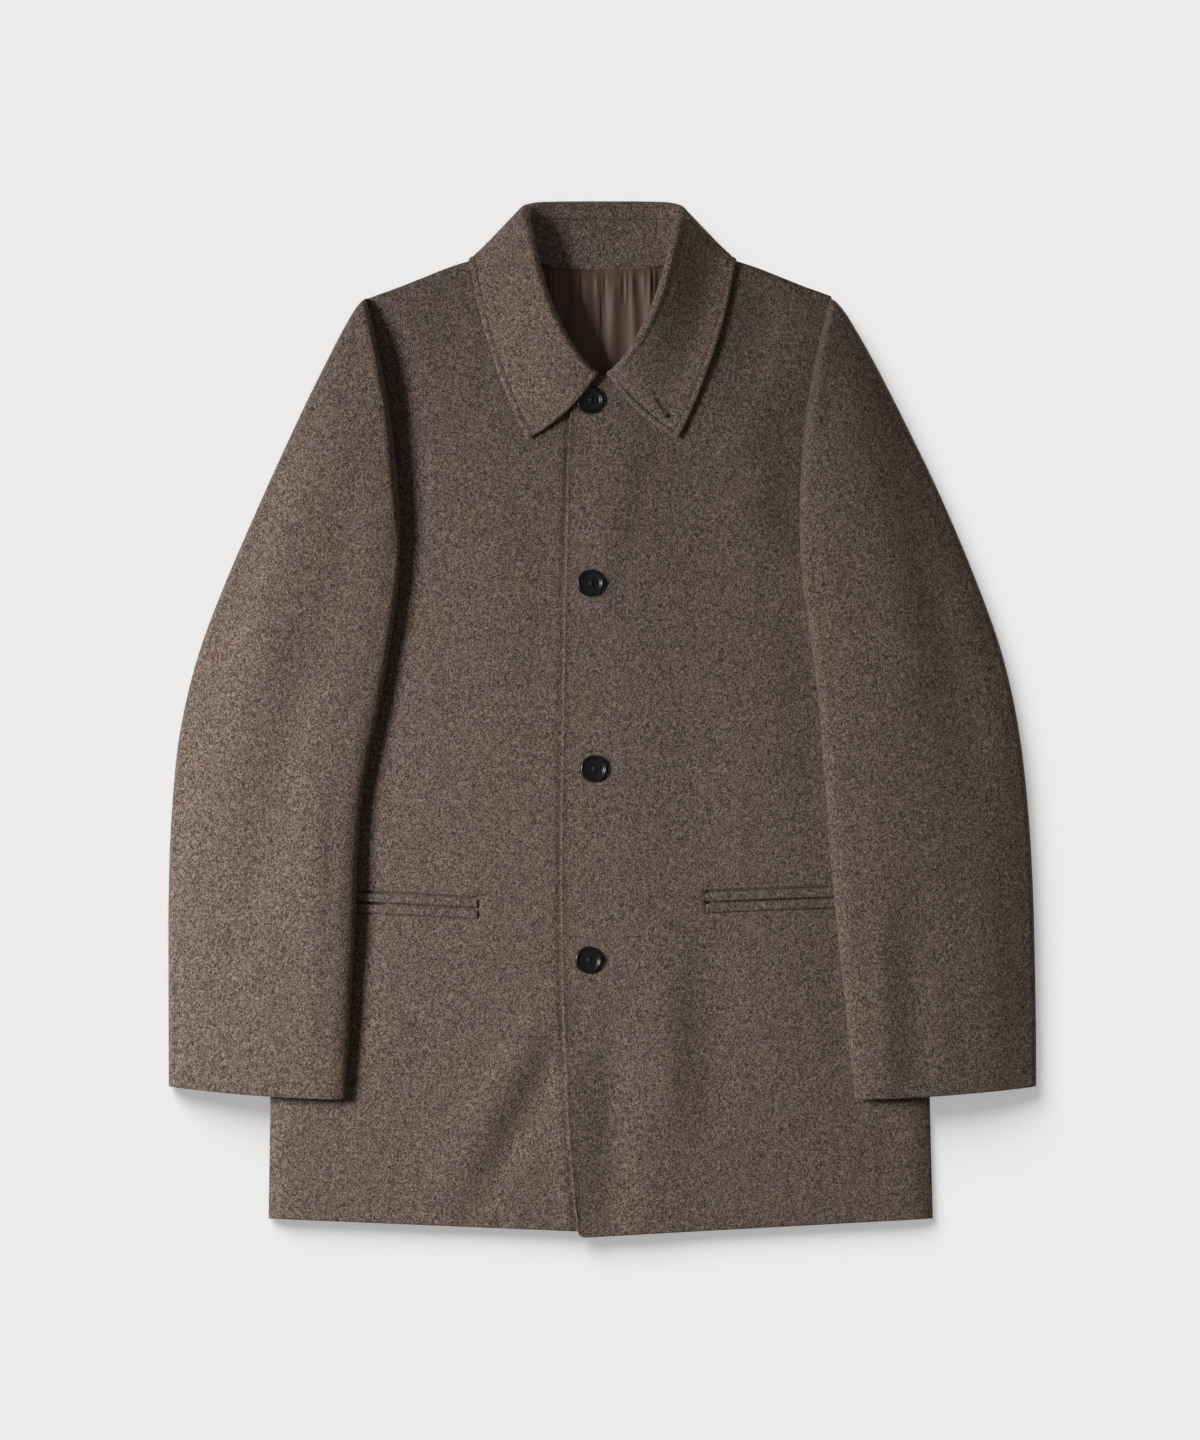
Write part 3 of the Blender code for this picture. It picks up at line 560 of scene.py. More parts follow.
def front_points(edge, neckline, side, armhole, pocket, laps):
    """Outer face of one front, from hem to shoulder seam and from front edge to side and armhole."""
    sign = 1.0 if laps else -1.0
    up = np.union1d(rim_shares(810.0, 150), np.linspace(0.298, 0.362, 50))
    across = rim_shares(290.0, 124)
    start = joined(edge, neckline, NECK_SHARE, up)
    end = joined(side, armhole, UNDERARM_SHARE, up)
    end[:, 0] += sign * ARMHOLE_TUCK * ease(140.0, 178.0, end[:, 1])
    under = ease(84.0, 100.0, end[:, 1]) * (1 - ease(150.0, 185.0, end[:, 1]))
    end[:, 1] += UNDERARM_TUCK * under
    hem = start[0] + across[:, None] * (end[0] - start[0])
    shoulder = along(SHOULDER_SEAM[::-1], across) * (np.sign(end[-1][0]), 1.0)
    shoulder = shoulder + across[:, None] * (end[-1] - shoulder[-1])
    plan = patch(hem, shoulder, start, end, across, up)
    from_edge = np.linalg.norm(plan - start[:, None], axis=2)
    from_hem = np.linalg.norm(plan - hem[None], axis=2)
    corner = np.clip(1 - from_edge / CORNER_ROUND, 0.0, 1.0)
    lift = CORNER_ROUND * (1 - np.sqrt(1 - corner ** 2)) * (1 - ease(0.0, 60.0, from_hem))
    x = plan[..., 0]
    y = plan[..., 1] + lift
    z = front_height(x, y) - pocket_recess(pocket, sign, x, y)
    if laps:
        z = z + lap_lift(x) + LAP_SWELL * hump(from_edge, LAP_SWELL_WIDTH)
    else:
        lap_x = np.interp(y, [spot.y for spot in LEFT_FRONT_EDGE], [spot.x for spot in LEFT_FRONT_EDGE])
        z = z - LAP_CREASE * hump(x - lap_x + 1.0, LAP_CREASE_WIDTH)
    inward = np.linalg.norm(plan - end[:, None], axis=2)
    reach = FRONT_EDGE_ROUND + ARMHOLE_DIP * ease(70.0, 150.0, y)
    edge_drop = np.clip(1 - inward / reach, 0.0, 1.0) ** 2
    edge_top = FRONT_EDGE_TOP + (SHOULDER_END_TOP - FRONT_EDGE_TOP) * ease(285.0, 335.0, y)
    z = z + (edge_top - z) * edge_drop
    return np.stack((x, y, z), axis=2)


def back_points():
    """Outer face of the back: flat on the floor, then round the shoulder fold to the shoulder seam."""
    up = rim_shares(790.0, 60, last=False)
    rim = np.array(RIM_STEPS[:-1]) / 580.0
    shoulder_share = np.concatenate((rim, np.linspace(RIM_STEPS[-1] / 580.0, BACK_NECK_FROM, 26)))
    neck_share = np.linspace(BACK_NECK_FROM, 0.5, 16)[1:]
    half = np.concatenate((
        along(BACK_SHOULDER, shoulder_share / BACK_NECK_FROM),
        along(BACK_NECK, (neck_share - BACK_NECK_FROM) / (0.5 - BACK_NECK_FROM)),
    ))
    half_share = np.concatenate((shoulder_share, neck_share))
    top = np.concatenate((half * (-1, 1), half[-2::-1]))
    across = np.concatenate((half_share, 1 - half_share[-2::-1]))
    raised = neck_raise(top[:, 0], top[:, 1])
    strip_top = SHOULDER_TOP + (SHOULDER_END_TOP - SHOULDER_TOP) * ease(150.0, 186.0, np.abs(top[:, 0]))
    strip_top = strip_top + neck_lift(top[:, 0], top[:, 1])
    radius = (strip_top - raised) / 2
    inward = -np.stack((np.sign(top[:, 0]) * 0.37, np.full(len(top), 0.93)), axis=1)
    on_shoulder = np.abs(top[:, 0]) >= BACK_NECK[0].x - 0.01
    fold_line = top + np.where(on_shoulder[:, None], inward * radius[:, None], 0.0)
    start = joined(RIGHT_SIDE, RIGHT_ARMHOLE, UNDERARM_SHARE, up)
    end = joined(LEFT_SIDE, LEFT_ARMHOLE, UNDERARM_SHARE, up)
    late = ease(UNDERARM_SHARE, 1.0, up)[:, None]
    inset = np.array((BACK_INSET, 0.0))
    start = start + inset + late * (fold_line[0] - start[-1] - inset)
    end = end - inset + late * (fold_line[-1] - end[-1] + inset)
    short = BACK_INSET * (1 - ease(0.0, 0.3, up))
    start[:, 1] += short
    end[:, 1] += short
    hem = start[0] + across[:, None] * (end[0] - start[0])
    hem[:, 1] -= 6.0 * np.sin(math.pi * across)
    plan = patch(hem, fold_line, start, end, across, up)
    flat = np.stack((plan[..., 0], plan[..., 1], neck_raise(plan[..., 0], plan[..., 1])), axis=2)
    rows = []
    for angle in np.radians(np.linspace(-75.0, 90.0, 12)):
        reach = fold_line - inward * (radius * math.cos(angle))[:, None]
        rows.append(np.column_stack((reach, raised + radius * (1 + math.sin(angle)))))
    strip = fold_line.copy()
    seam = along(SHOULDER_SEAM, shoulder_share / BACK_NECK_FROM) - (0.0, SHOULDER_LAP)
    strip[:len(seam)] = seam * (-1, 1)
    strip[-len(seam):] = seam[::-1]
    leave = rows[-1]
    for share in rim_shares(9.0, 3, first=False)[1:]:
        rows.append(leave + share * (np.column_stack((strip, strip_top)) - leave))
    points = np.concatenate((flat, np.array(rows)))
    tuck = ease(2.5, 5.5, points[..., 2]) * ease(165.0, 186.0, np.abs(points[..., 0]))
    right = points[..., 0] < 0
    points[..., 0] += np.where(right, -ARMHOLE_TUCK - SHOULDER_REACH, ARMHOLE_TUCK) * tuck
    points[..., 1] -= np.where(right, 0.4 * SHOULDER_REACH, 0.0) * tuck
    kept = np.ones((len(points) - 1, len(across) - 1), dtype=bool)
    middle = (across[:-1] + across[1:]) / 2
    kept[len(up) - 1:, np.abs(middle - 0.5) < 0.5 - BACK_NECK_FROM] = False
    return points, kept


def lining_points():
    """Upper face of the back lining: uneven satin folds that gather into the neck seam."""
    inner = np.linspace(-PLEAT_SPREAD, PLEAT_SPREAD, 150)
    rows = np.concatenate((
        np.linspace(LINING_HEM, 95.0, 14)[:-1],
        np.linspace(95.0, 270.0, 12)[:-1],
        np.linspace(270.0, 376.5, 54),
    ))
    points = []
    for row_y in rows:
        wide = 245.0 - 105.0 * ease(20.0, 95.0, row_y) - 76.0 * ease(245.0, 352.0, row_y)
        side = np.linspace(wide, PLEAT_SPREAD, 9)[:-1]
        x = np.concatenate((-side, inner, side[::-1]))
        y = row_y + 11.0 * (np.minimum(np.abs(x), 60.0) / 60.0) ** 2 * ease(340.0, 376.0, row_y)
        down = LINING_TOP - row_y
        gather = np.zeros(len(x))
        for pleat in LINING_PLEATS:
            width = pleat.width * (0.75 + 0.5 * ease(0.0, 90.0, down))
            gather = gather + pleat.height * hump(x - pleat.x - pleat.lean * down, width)
        gather = gather * ease(200.0, 320.0, row_y) * (1 - 0.7 * ease(358.0, 374.0, row_y))
        pucker = PUCKER_HEIGHT * (0.45 + np.cos(2 * math.pi * x / PUCKER_STEP + 0.9 * np.sin(0.31 * x)) ** 2)
        pucker = pucker * ease(338.0, 364.0, row_y) * (1 - ease(365.0, 374.0, row_y))
        pucker = pucker * (1 - ease(0.8, 1.0, np.abs(x) / PLEAT_SPREAD))
        from_seam = x + 1.6 + 0.02 * down
        lip = hump(from_seam, np.where(from_seam < 0, LIP_SLOPE, LIP_STEP))
        centre_lip = LIP_HEIGHT * lip * ease(95.0, 120.0, row_y) * (1 - ease(366.0, 374.0, row_y))
        lift = neck_raise(x, y) + size("wool_wall") + size("lining_wall") + SEAM_GAP
        lift = lift + SEAM_GAP * ease(270.0, 300.0, y)
        points.append(np.column_stack((x, y, lift + gather + pucker + centre_lip)))
    return np.array(points)


def sleeve_points(sign):
    """Outer face of a sleeve, ring by ring from the armhole seam to the cuff, pressed flat."""
    marks = np.linspace(0.0, 1.0, len(SLEEVE_RINGS))
    cuff = 1 - np.array(RIM_STEPS) / 640.0
    cap = np.array((0.0, 0.0006, 0.0016, 0.003, 0.006, 0.011, 0.018, 0.027, 0.038))
    shares = np.concatenate((cap, np.linspace(0.05, cuff[-1], 92), cuff[-2::-1]))
    high_shares = np.where(shares < marks[2], marks[2] * (shares / marks[2]) ** 0.5, shares)
    plans = smooth_rows(SLEEVE_RINGS, marks, shares)
    heights = smooth_rows(SLEEVE_RINGS, marks, high_shares)
    rings = []
    for plan_row, height_row in zip(plans, heights):
        ring = Ring(*plan_row)
        tall = Ring(*height_row)
        if sign > 0:
            outer = np.array((ring.outer_x, ring.outer_y))
            inner = np.array((ring.left_x, ring.left_y))
            most_bow = ring.left_bow
        else:
            outer = np.array((-ring.outer_x - ring.right_out, ring.outer_y))
            inner = np.array((-ring.right_x, ring.right_y))
            most_bow = ring.right_bow
        rings.append(sleeve_ring(outer, inner, most_bow, sign, tall))
    return np.array(rings)


def sleeve_ring(outer, inner, most_bow, sign, tall):
    """One ring of a sleeve: crowned top, soft inner roll, flat underside and outer fold."""
    span = np.linalg.norm(inner - outer)
    run = (inner - outer) / span
    toward_body = np.array((-run[1], run[0])) * -sign
    outer_radius = tall.outer_tall / 2
    inner_radius = tall.inner_tall / 2
    roll = inner_radius * SLEEVE_ROLL

    def plan_at(distance):
        share = np.asarray(distance) / span
        bow = most_bow * 4 * share * (1 - share)
        return outer + np.outer(distance, run) + np.outer(bow, toward_body)

    def rest_at(distance, early=0.0):
        spots = plan_at(distance)
        return sleeve_rest(spots[:, 0], spots[:, 1], early)

    top_run = np.linspace(outer_radius, span - roll, 44)
    share = (top_run - outer_radius) / (span - inner_radius - outer_radius)
    outer_rest = rest_at([outer_radius])[0]
    inner_rest = rest_at([span - inner_radius])[0]
    inner_low = rest_at([span - inner_radius], UNDERARM_TURN)[0]
    low = outer_rest + tall.outer_tall
    high = inner_rest + tall.inner_tall
    top_plan = plan_at(top_run)
    skew = np.clip(share, 0.0, 1.0) ** SLEEVE_SKEW
    top_z = low + (high - low) * ease(0.0, 1.0, share) + tall.crown * 4 * skew * (1 - skew)
    ends = ease(0.0, 0.2, share) * (1 - ease(0.8, 1.0, share))
    top_z = top_z + fold_height(SLEEVE_FOLDS, top_plan[:, 0], top_plan[:, 1]) * ends
    upper_turn = np.radians(np.linspace(90.0, 0.0, 10))[1:]
    lower_turn = np.radians(np.linspace(0.0, -90.0, 7))[1:-1]
    upper_run = span - roll + roll * np.cos(upper_turn)
    upper_z = inner_rest + inner_radius + (top_z[-1] - inner_rest - inner_radius) * np.sin(upper_turn)
    lower_run = span - inner_radius + inner_radius * np.cos(lower_turn)
    lower_z = inner_low + (inner_rest + inner_radius - inner_low) * (1 + np.sin(lower_turn))
    bottom_run = np.linspace(span - inner_radius, outer_radius, 16)
    outer_turn = np.radians(np.linspace(-90.0, 90.0, 12))[1:-1]
    outer_run = outer_radius - outer_radius * np.cos(outer_turn)
    outer_z = outer_rest + outer_radius * (1 + np.sin(outer_turn))
    distance = np.concatenate((top_run, upper_run, lower_run, bottom_run, outer_run))
    height = np.concatenate((top_z, upper_z, lower_z, rest_at(bottom_run, UNDERARM_TURN), outer_z))
    return np.column_stack((plan_at(distance), height))


def collar_points():
    """Outer faces of the collar's fall and stand, from the left leaf round the back to the right leaf."""
    marks = np.linspace(0.0, 1.0, len(COLLAR_STATIONS))
    front = np.array(COLLAR_STEPS) * 0.0034
    shares = np.concatenate((front, np.linspace(0.04, 1.0, 84)))
    half = [Station(*row) for row in smooth_rows(COLLAR_STATIONS, marks, shares)]
    sections = [collar_section(station, 1.0) for station in half]
    sections += [collar_section(station, -1.0) for station in half[-2::-1]]
    fall = np.array([section[0] for section in sections])
    stand = np.array([section[1] for section in sections])
    normals = grid_normals(fall, False)
    run = grid_run(fall, 1)
    inside = run[:, -1:] - run
    run = grid_run(fall, 0)
    inside = np.minimum(inside, np.minimum(run, run[-1] - run))
    relief = EDGE_SWELL * hump(inside - 0.5 * STITCH_INSET, 0.36 * STITCH_INSET)
    relief = relief - EDGE_GROOVE * hump(inside - STITCH_INSET, EDGE_GROOVE_WIDTH)
    fall = fall + normals * relief[..., None]
    fall[..., 2] = np.maximum(fall[..., 2], 0.0)
    return fall, stand


def collar_section(station, sign):
    """Roll and fall points, and stand points, of one collar section on its outer face."""
    mirror = np.array((sign, 1.0, 1.0))
    fold = np.array((station.fold_x, station.fold_y, station.fold_z))
    edge = np.array((station.edge_x, station.edge_y, station.edge_z))
    seam = np.array((station.seam_x, station.seam_y, station.seam_z))
    away = (edge - fold) * (1, 1, 0)
    away = away / np.linalg.norm(away)
    outside = np.array((-away[1], away[0], 0.0))
    twist = math.radians(station.twist)
    rise = math.cos(twist) * np.array((0.0, 0.0, 1.0)) + math.sin(twist) * outside
    centre = fold + station.roll * away
    angles = np.radians(np.linspace(-90.0, 90.0, 18))[:, None]
    roll = centre - station.roll * (np.cos(angles) * away - np.sin(angles) * rise)
    leave = roll[-1]
    length = np.linalg.norm(edge - leave)
    rim = np.array(COLLAR_STEPS) / length
    share = np.concatenate((np.linspace(0.0, 1 - 1.2 * rim[-1], 26)[1:], 1 - rim[::-1]))[:, None]
    fall = leave + (edge - leave) * share + outside * (station.bow * 4 * share * (1 - share))
    outward = share[:, 0]
    if sign < 0:
        even = 0.6 * outward + 0.4 * ease(-0.2, 1.0, outward)
    else:
        even = ease(-0.2, 0.8, outward)
    turned = ease(0.0, 80.0, station.twist)
    drop = even + (ease(-0.15, 1.0, outward) - even) * turned
    fall[:, 2] = leave[2] + (edge[2] - leave[2]) * drop
    fall = np.concatenate((roll, fall))
    fall[:, 2] = np.maximum(fall[:, 2], 0.0)
    attach = roll[0]
    gap = (seam - attach) * (ROLL_SEAM_GAP / np.linalg.norm(seam - attach))
    down = np.union1d(rim_shares(24.0, 8), np.linspace(BAND_SEAM - 0.03, BAND_SEAM + 0.03, 11))[:, None]
    stand = attach + gap + (seam - attach - gap) * down
    stand[:, 2] -= BAND_GROOVE * hump(down[:, 0] - BAND_SEAM, BAND_GROOVE_WIDTH)
    return fall * mirror, stand * mirror


def welt_points(pocket, sign, shift):
    """Upper face of one pocket lip, bedded in its front and slightly rounded."""
    run = rim_shares(WELT_LENGTH, 60) * WELT_LENGTH
    rows = []
    for share in rim_shares(WELT_HEIGHT, 5) - 0.5:
        x = pocket.inner_x + sign * run
        y = pocket.inner_y + pocket.slope * run + shift * (WELT_HEIGHT + WELT_GAP) / 2 + share * WELT_HEIGHT
        z = front_height(x, y) - WELT_RECESS + 0.2 + size("welt_wall") + WELT_CROWN * (1 - 4 * share ** 2)
        if sign > 0:
            z = z + lap_lift(x)
        rows.append(np.column_stack((x, y, z)))
    return np.array(rows)


def lathe(profile, steps):
    """Closed turned shape from a profile of radius and height in mm."""
    angles = np.linspace(0.0, 2 * math.pi, steps, endpoint=False)
    shape = bmesh.new()
    rings = []
    for radius, height in profile:
        if radius < 1e-6:
            rings.append([shape.verts.new((0.0, 0.0, height * MM))] * steps)
        else:
            rings.append([
                shape.verts.new((radius * math.cos(a) * MM, radius * math.sin(a) * MM, height * MM))
                for a in angles
            ])
    for lower, upper in zip(rings, rings[1:]):
        for j in range(steps):
            corners = []
            for vert in (lower[j], lower[(j + 1) % steps], upper[(j + 1) % steps], upper[j]):
                if vert not in corners:
                    corners.append(vert)
            shape.faces.new(corners)
    bmesh.ops.recalc_face_normals(shape, faces=shape.faces)
    return shape


def tube_into(shape, path, radius, sides=8):
    """Adds a round strand with closed ends along a path in mm."""
    path = np.array(path, dtype=float)
    ahead = np.gradient(path, axis=0)
    ahead = ahead / np.linalg.norm(ahead, axis=1, keepdims=True)
    aside = np.cross(ahead, (0.0, 0.0, 1.0))
    short = np.linalg.norm(aside, axis=1) < 1e-3
    aside[short] = (1.0, 0.0, 0.0)
    aside = aside / np.linalg.norm(aside, axis=1, keepdims=True)
    above = np.cross(aside, ahead)
    rings = []
    for point, right, top in zip(path, aside, above):
        ring = []
        for angle in np.linspace(0.0, 2 * math.pi, sides, endpoint=False):
            spot = point + radius * (math.cos(angle) * right + math.sin(angle) * top)
            ring.append(shape.verts.new(spot * MM))
        rings.append(ring)
    for lower, upper in zip(rings, rings[1:]):
        for j in range(sides):
            shape.faces.new((lower[j], lower[(j + 1) % sides], upper[(j + 1) % sides], upper[j]))
    shape.faces.new(rings[0][::-1])
    shape.faces.new(rings[-1])


def mesh_of(name, shape):
    """Mesh of a finished shape, shaded smooth, with its faces pointing outward."""
    bmesh.ops.recalc_face_normals(shape, faces=shape.faces)
    for face in shape.faces:
        face.smooth = True
    mesh = bpy.data.meshes.new(name)
    shape.to_mesh(mesh)
    shape.free()
    return mesh


def button_base(spot):
    """Height of the front under a button."""
    return float(front_height(spot.x, spot.y) + lap_lift(spot.x)) - BUTTON_SINK


def button_mesh(name, spot, radius):
    """Turned button with a round rim, a dished middle and four holes."""
    marks = np.linspace(0.0, 1.0, len(BUTTON_PROFILE))
    profile = smooth_rows(BUTTON_PROFILE, marks, np.linspace(0.0, 1.0, 46)) * (radius, 1.0)
    profile[:, 0] = np.maximum(profile[:, 0], 0.0)
    profile[0, 0] = 0.0
    profile[-1, 0] = 0.0
    place = (spot.x * MM, spot.y * MM, button_base(spot) * MM)
    disc = lathe(profile, 72)
    bmesh.ops.translate(disc, verts=disc.verts, vec=place)
    piece = add_piece(name, mesh_of(name, disc))
    drill = bmesh.new()
    for side_x in (-1, 1):
        for side_y in (-1, 1):
            made = bmesh.ops.create_cone(
                drill, cap_ends=True, segments=20, depth=14.0 * MM,
                radius1=HOLE_RADIUS * MM, radius2=HOLE_RADIUS * MM,
            )
            shift = (place[0] + side_x * HOLE_STEP * MM, place[1] + side_y * HOLE_STEP * MM, place[2])
            bmesh.ops.translate(drill, verts=made["verts"], vec=shift)
    cutter = add_piece(name + "_drill", mesh_of(name + "_drill", drill))
    holes = piece.modifiers.new("holes", "BOOLEAN")
    holes.object = cutter
    holes.operation = "DIFFERENCE"
    holes.solver = "EXACT"
    made = baked(piece)
    bpy.data.objects.remove(cutter, do_unlink=True)
    piece.modifiers.clear()
    piece.data = made
    piece.data.set_sharp_from_angle(angle=math.radians(38.0))
    return piece


def baked(piece):
    """Plain mesh of a piece with its modifiers applied."""
    graph = bpy.context.evaluated_depsgraph_get()
    graph.update()
    return bpy.data.meshes.new_from_object(piece.evaluated_get(graph))


def thread_mesh(name, spot):
    """Thread of one button: two crossed pairs of strands through its holes."""
    shape = bmesh.new()
    top = button_base(spot) + 2.55
    for turn in (1, -1):
        for offset in (-0.3, 0.3):
            share = np.linspace(-1.0, 1.0, 13)
            x = spot.x + HOLE_STEP * share * 1.02 + offset * 0.7
            y = spot.y + turn * HOLE_STEP * share * 1.02 - turn * offset * 0.7
            arch = 0.75 - 1.9 * np.abs(share) ** 5 + (0.2 if turn > 0 else 0.0)
            tube_into(shape, np.column_stack((x, y, top + arch)), THREAD_RADIUS)
    return mesh_of(name, shape)


def fill(made, values):
    """Sets inputs of a node by their names or numbers."""
    for key, value in values.items():
        made.inputs[key].default_value = value


def wire(tree, *links):
    """Links of a tree, each from a node's output to a node's input."""
    for source, output, target, entry in links:
        tree.links.new(source.outputs[output], target.inputs[entry])


def node(tree, kind, label, numbered=None, **values):
    """New node; numbered inputs are set by number, values as properties or as inputs by name."""
    made = tree.nodes.new(kind)
    made.label = label
    fill(made, numbered or {})
    for key, value in values.items():
        if hasattr(made, key):
            setattr(made, key, value)
        else:
            made.inputs[key.replace("_", " ").title()].default_value = value
    return made


def two_shades(tree, label, colour, dark, light):
    """Mix from a darker to a lighter shade of one colour."""
    shades = {6 + i: (*[share * part for part in colour], 1.0) for i, share in enumerate((dark, light))}
    return node(tree, "ShaderNodeMix", label, shades, data_type="RGBA")


def heather_group():
    """Node group of the wool: speckled fibre colours, soft blotches and the height of the nap."""
    name = "wool heather"
    if name in bpy.data.node_groups:
        return bpy.data.node_groups[name]
    tree = bpy.data.node_groups.new(name, "ShaderNodeTree")
    sockets = tree.interface
    sockets.new_socket("Vector", in_out="INPUT", socket_type="NodeSocketVector")
    for label in ("Speckle", "Contrast", "Blotch"):
        sockets.new_socket(label, in_out="INPUT", socket_type="NodeSocketFloat")
    for label in ("Dark", "Base", "Light"):
        sockets.new_socket(label, in_out="INPUT", socket_type="NodeSocketColor")
    sockets.new_socket("Color", in_out="OUTPUT", socket_type="NodeSocketColor")
    sockets.new_socket("Height", in_out="OUTPUT", socket_type="NodeSocketFloat")
    sockets.new_socket("Roughness", in_out="OUTPUT", socket_type="NodeSocketFloat")
    given = tree.nodes.new("NodeGroupInput")
    result = tree.nodes.new("NodeGroupOutput")
    coarse_scale = node(tree, "ShaderNodeMath", "tufts per metre", {0: 1.0}, operation="DIVIDE")
    fine_scale = node(tree, "ShaderNodeMath", "fibres per metre", {0: 2.3}, operation="DIVIDE")
    tufts = node(tree, "ShaderNodeTexNoise", "tufts", detail=2.0, roughness=0.6, distortion=1.6)
    fibres = node(tree, "ShaderNodeTexNoise", "fibres", detail=1.0, roughness=0.5, distortion=0.8)
    blotch = node(tree, "ShaderNodeTexNoise", "blotches", scale=17.0, detail=2.5, roughness=0.55)
    both = node(tree, "ShaderNodeMix", "tufts and fibres", data_type="FLOAT", factor=0.45)
    centred = node(tree, "ShaderNodeMath", "about the middle", {1: 0.5}, operation="SUBTRACT")
    spread = node(tree, "ShaderNodeMath", "spread", {2: 0.5}, operation="MULTIPLY_ADD")
    lower = node(tree, "ShaderNodeMapRange", "dark fibres", from_max=0.5)
    upper = node(tree, "ShaderNodeMapRange", "light fibres", from_min=0.5)
    shade = node(tree, "ShaderNodeMix", "dark to base", data_type="RGBA")
    bright = node(tree, "ShaderNodeMix", "base to light", data_type="RGBA")
    hue = node(
        tree, "ShaderNodeMix", "olive to plum", {6: (1.10, 1.02, 0.86, 1.0), 7: (0.92, 0.97, 1.14, 1.0)},
        data_type="RGBA")
    hue_share = node(tree, "ShaderNodeMapRange", "blotch edges", from_min=0.38, from_max=0.62)
    dyed = node(tree, "ShaderNodeMix", "uneven dye", data_type="RGBA", blend_type="MULTIPLY")
    rough = node(tree, "ShaderNodeMapRange", "fibre gloss", to_min=1.0, to_max=0.86)
    wire(
        tree,
        (given, "Speckle", coarse_scale, 1), (given, "Speckle", fine_scale, 1),
        (given, "Vector", tufts, "Vector"), (given, "Vector", fibres, "Vector"),
        (given, "Vector", blotch, "Vector"), (coarse_scale, 0, tufts, "Scale"),
        (fine_scale, 0, fibres, "Scale"), (tufts, "Fac", both, "A"), (fibres, "Fac", both, "B"),
        (both, "Result", centred, 0), (centred, 0, spread, 0), (given, "Contrast", spread, 1),
        (spread, 0, lower, "Value"), (spread, 0, upper, "Value"), (lower, 0, shade, "Factor"),
        (given, "Dark", shade, 6), (given, "Base", shade, 7), (upper, 0, bright, "Factor"),
        (shade, 2, bright, 6), (given, "Light", bright, 7), (blotch, "Fac", hue_share, "Value"),
        (hue_share, 0, hue, "Factor"), (given, "Blotch", dyed, "Factor"), (bright, 2, dyed, 6),
        (hue, 2, dyed, 7), (spread, 0, rough, "Value"), (dyed, 2, result, "Color"),
        (both, "Result", result, "Height"), (rough, 0, result, "Roughness"),
    )
    return tree


def shader_of(name):
    """New material with its tree and its Principled shader."""
    material = bpy.data.materials.new(name)
    material.use_nodes = True
    return material, material.node_tree, material.node_tree.nodes["Principled BSDF"]


def wool(name, turn=0.0, tone=1.0):
    """Brushed heather wool; the turn in degrees follows how the piece's nap lies. A tone above 1 is painted
    light: a lighter copy of the wool standing in for brighter light.
    """
    if name in bpy.data.materials:
        return bpy.data.materials[name]
    colours = bpy.context.scene.coat_colours
    material, tree, shader = shader_of(name)
    place = node(tree, "ShaderNodeTexCoord", "on the piece")
    grain = node(
        tree, "ShaderNodeMapping", "grain", rotation=(0.0, 0.0, math.radians(turn)),
        scale=(1.0, 0.72, 1.0))
    cloth = node(tree, "ShaderNodeGroup", "heather")
    cloth.node_tree = heather_group()
    fill(cloth, {
        "Speckle": bpy.context.scene.coat_sizes.speckle, "Contrast": colours.contrast,
        "Blotch": colours.blotch,
    })
    for label in ("dark", "base", "light"):
        # Painted light where the tone is above 1: every fibre colour is scaled up to stand in for brighter
        # light.
        shade = [tone * part for part in getattr(colours, "wool_" + label)]
        cloth.inputs[label.title()].default_value = (*shade, 1.0)
    nap = node(tree, "ShaderNodeBump", "nap", strength=0.55, distance=0.0011)
    wire(
        tree,
        (place, "Object", grain, "Vector"), (grain, "Vector", cloth, "Vector"),
        (cloth, "Color", shader, "Base Color"), (cloth, "Roughness", shader, "Roughness"),
        (cloth, "Height", nap, "Height"), (nap, "Normal", shader, "Normal"),
    )
    fill(shader, {
        "Specular IOR Level": 0.12, "Sheen Weight": 0.16, "Sheen Roughness": 0.55,
        "Sheen Tint": (0.62, 0.52, 0.46, 1.0),
    })
    return material


def satin():
    """Brown lining satin with fine lengthwise threads."""
    colours = bpy.context.scene.coat_colours
    material, tree, shader = shader_of("lining satin")
    place = node(tree, "ShaderNodeTexCoord", "on the piece")
    stretch = node(tree, "ShaderNodeMapping", "lengthwise", scale=(2600.0, 60.0, 60.0))
    threads = node(tree, "ShaderNodeTexNoise", "threads", scale=1.0, detail=2.0)
    wave = node(tree, "ShaderNodeTexNoise", "uneven dye", scale=42.0, detail=2.0)
    tone = two_shades(tree, "satin colour", colours.lining, 0.82, 1.14)
    share = node(tree, "ShaderNodeMix", "threads and dye", data_type="FLOAT", factor=0.5)
    gloss = node(tree, "ShaderNodeMapRange", "satin gloss", to_min=0.44, to_max=0.58)
    weave = node(tree, "ShaderNodeBump", "weave", strength=0.12, distance=0.0003)
    wire(
        tree,
        (place, "Object", stretch, "Vector"), (stretch, "Vector", threads, "Vector"),
        (place, "Object", wave, "Vector"), (threads, "Fac", share, "A"), (wave, "Fac", share, "B"),
        (share, "Result", tone, "Factor"), (tone, 2, shader, "Base Color"),
        (threads, "Fac", gloss, "Value"), (gloss, 0, shader, "Roughness"),
        (threads, "Fac", weave, "Height"), (weave, "Normal", shader, "Normal"),
    )
    fill(shader, {
        "Specular IOR Level": 0.22, "Sheen Weight": 0.1,
    })
    return material


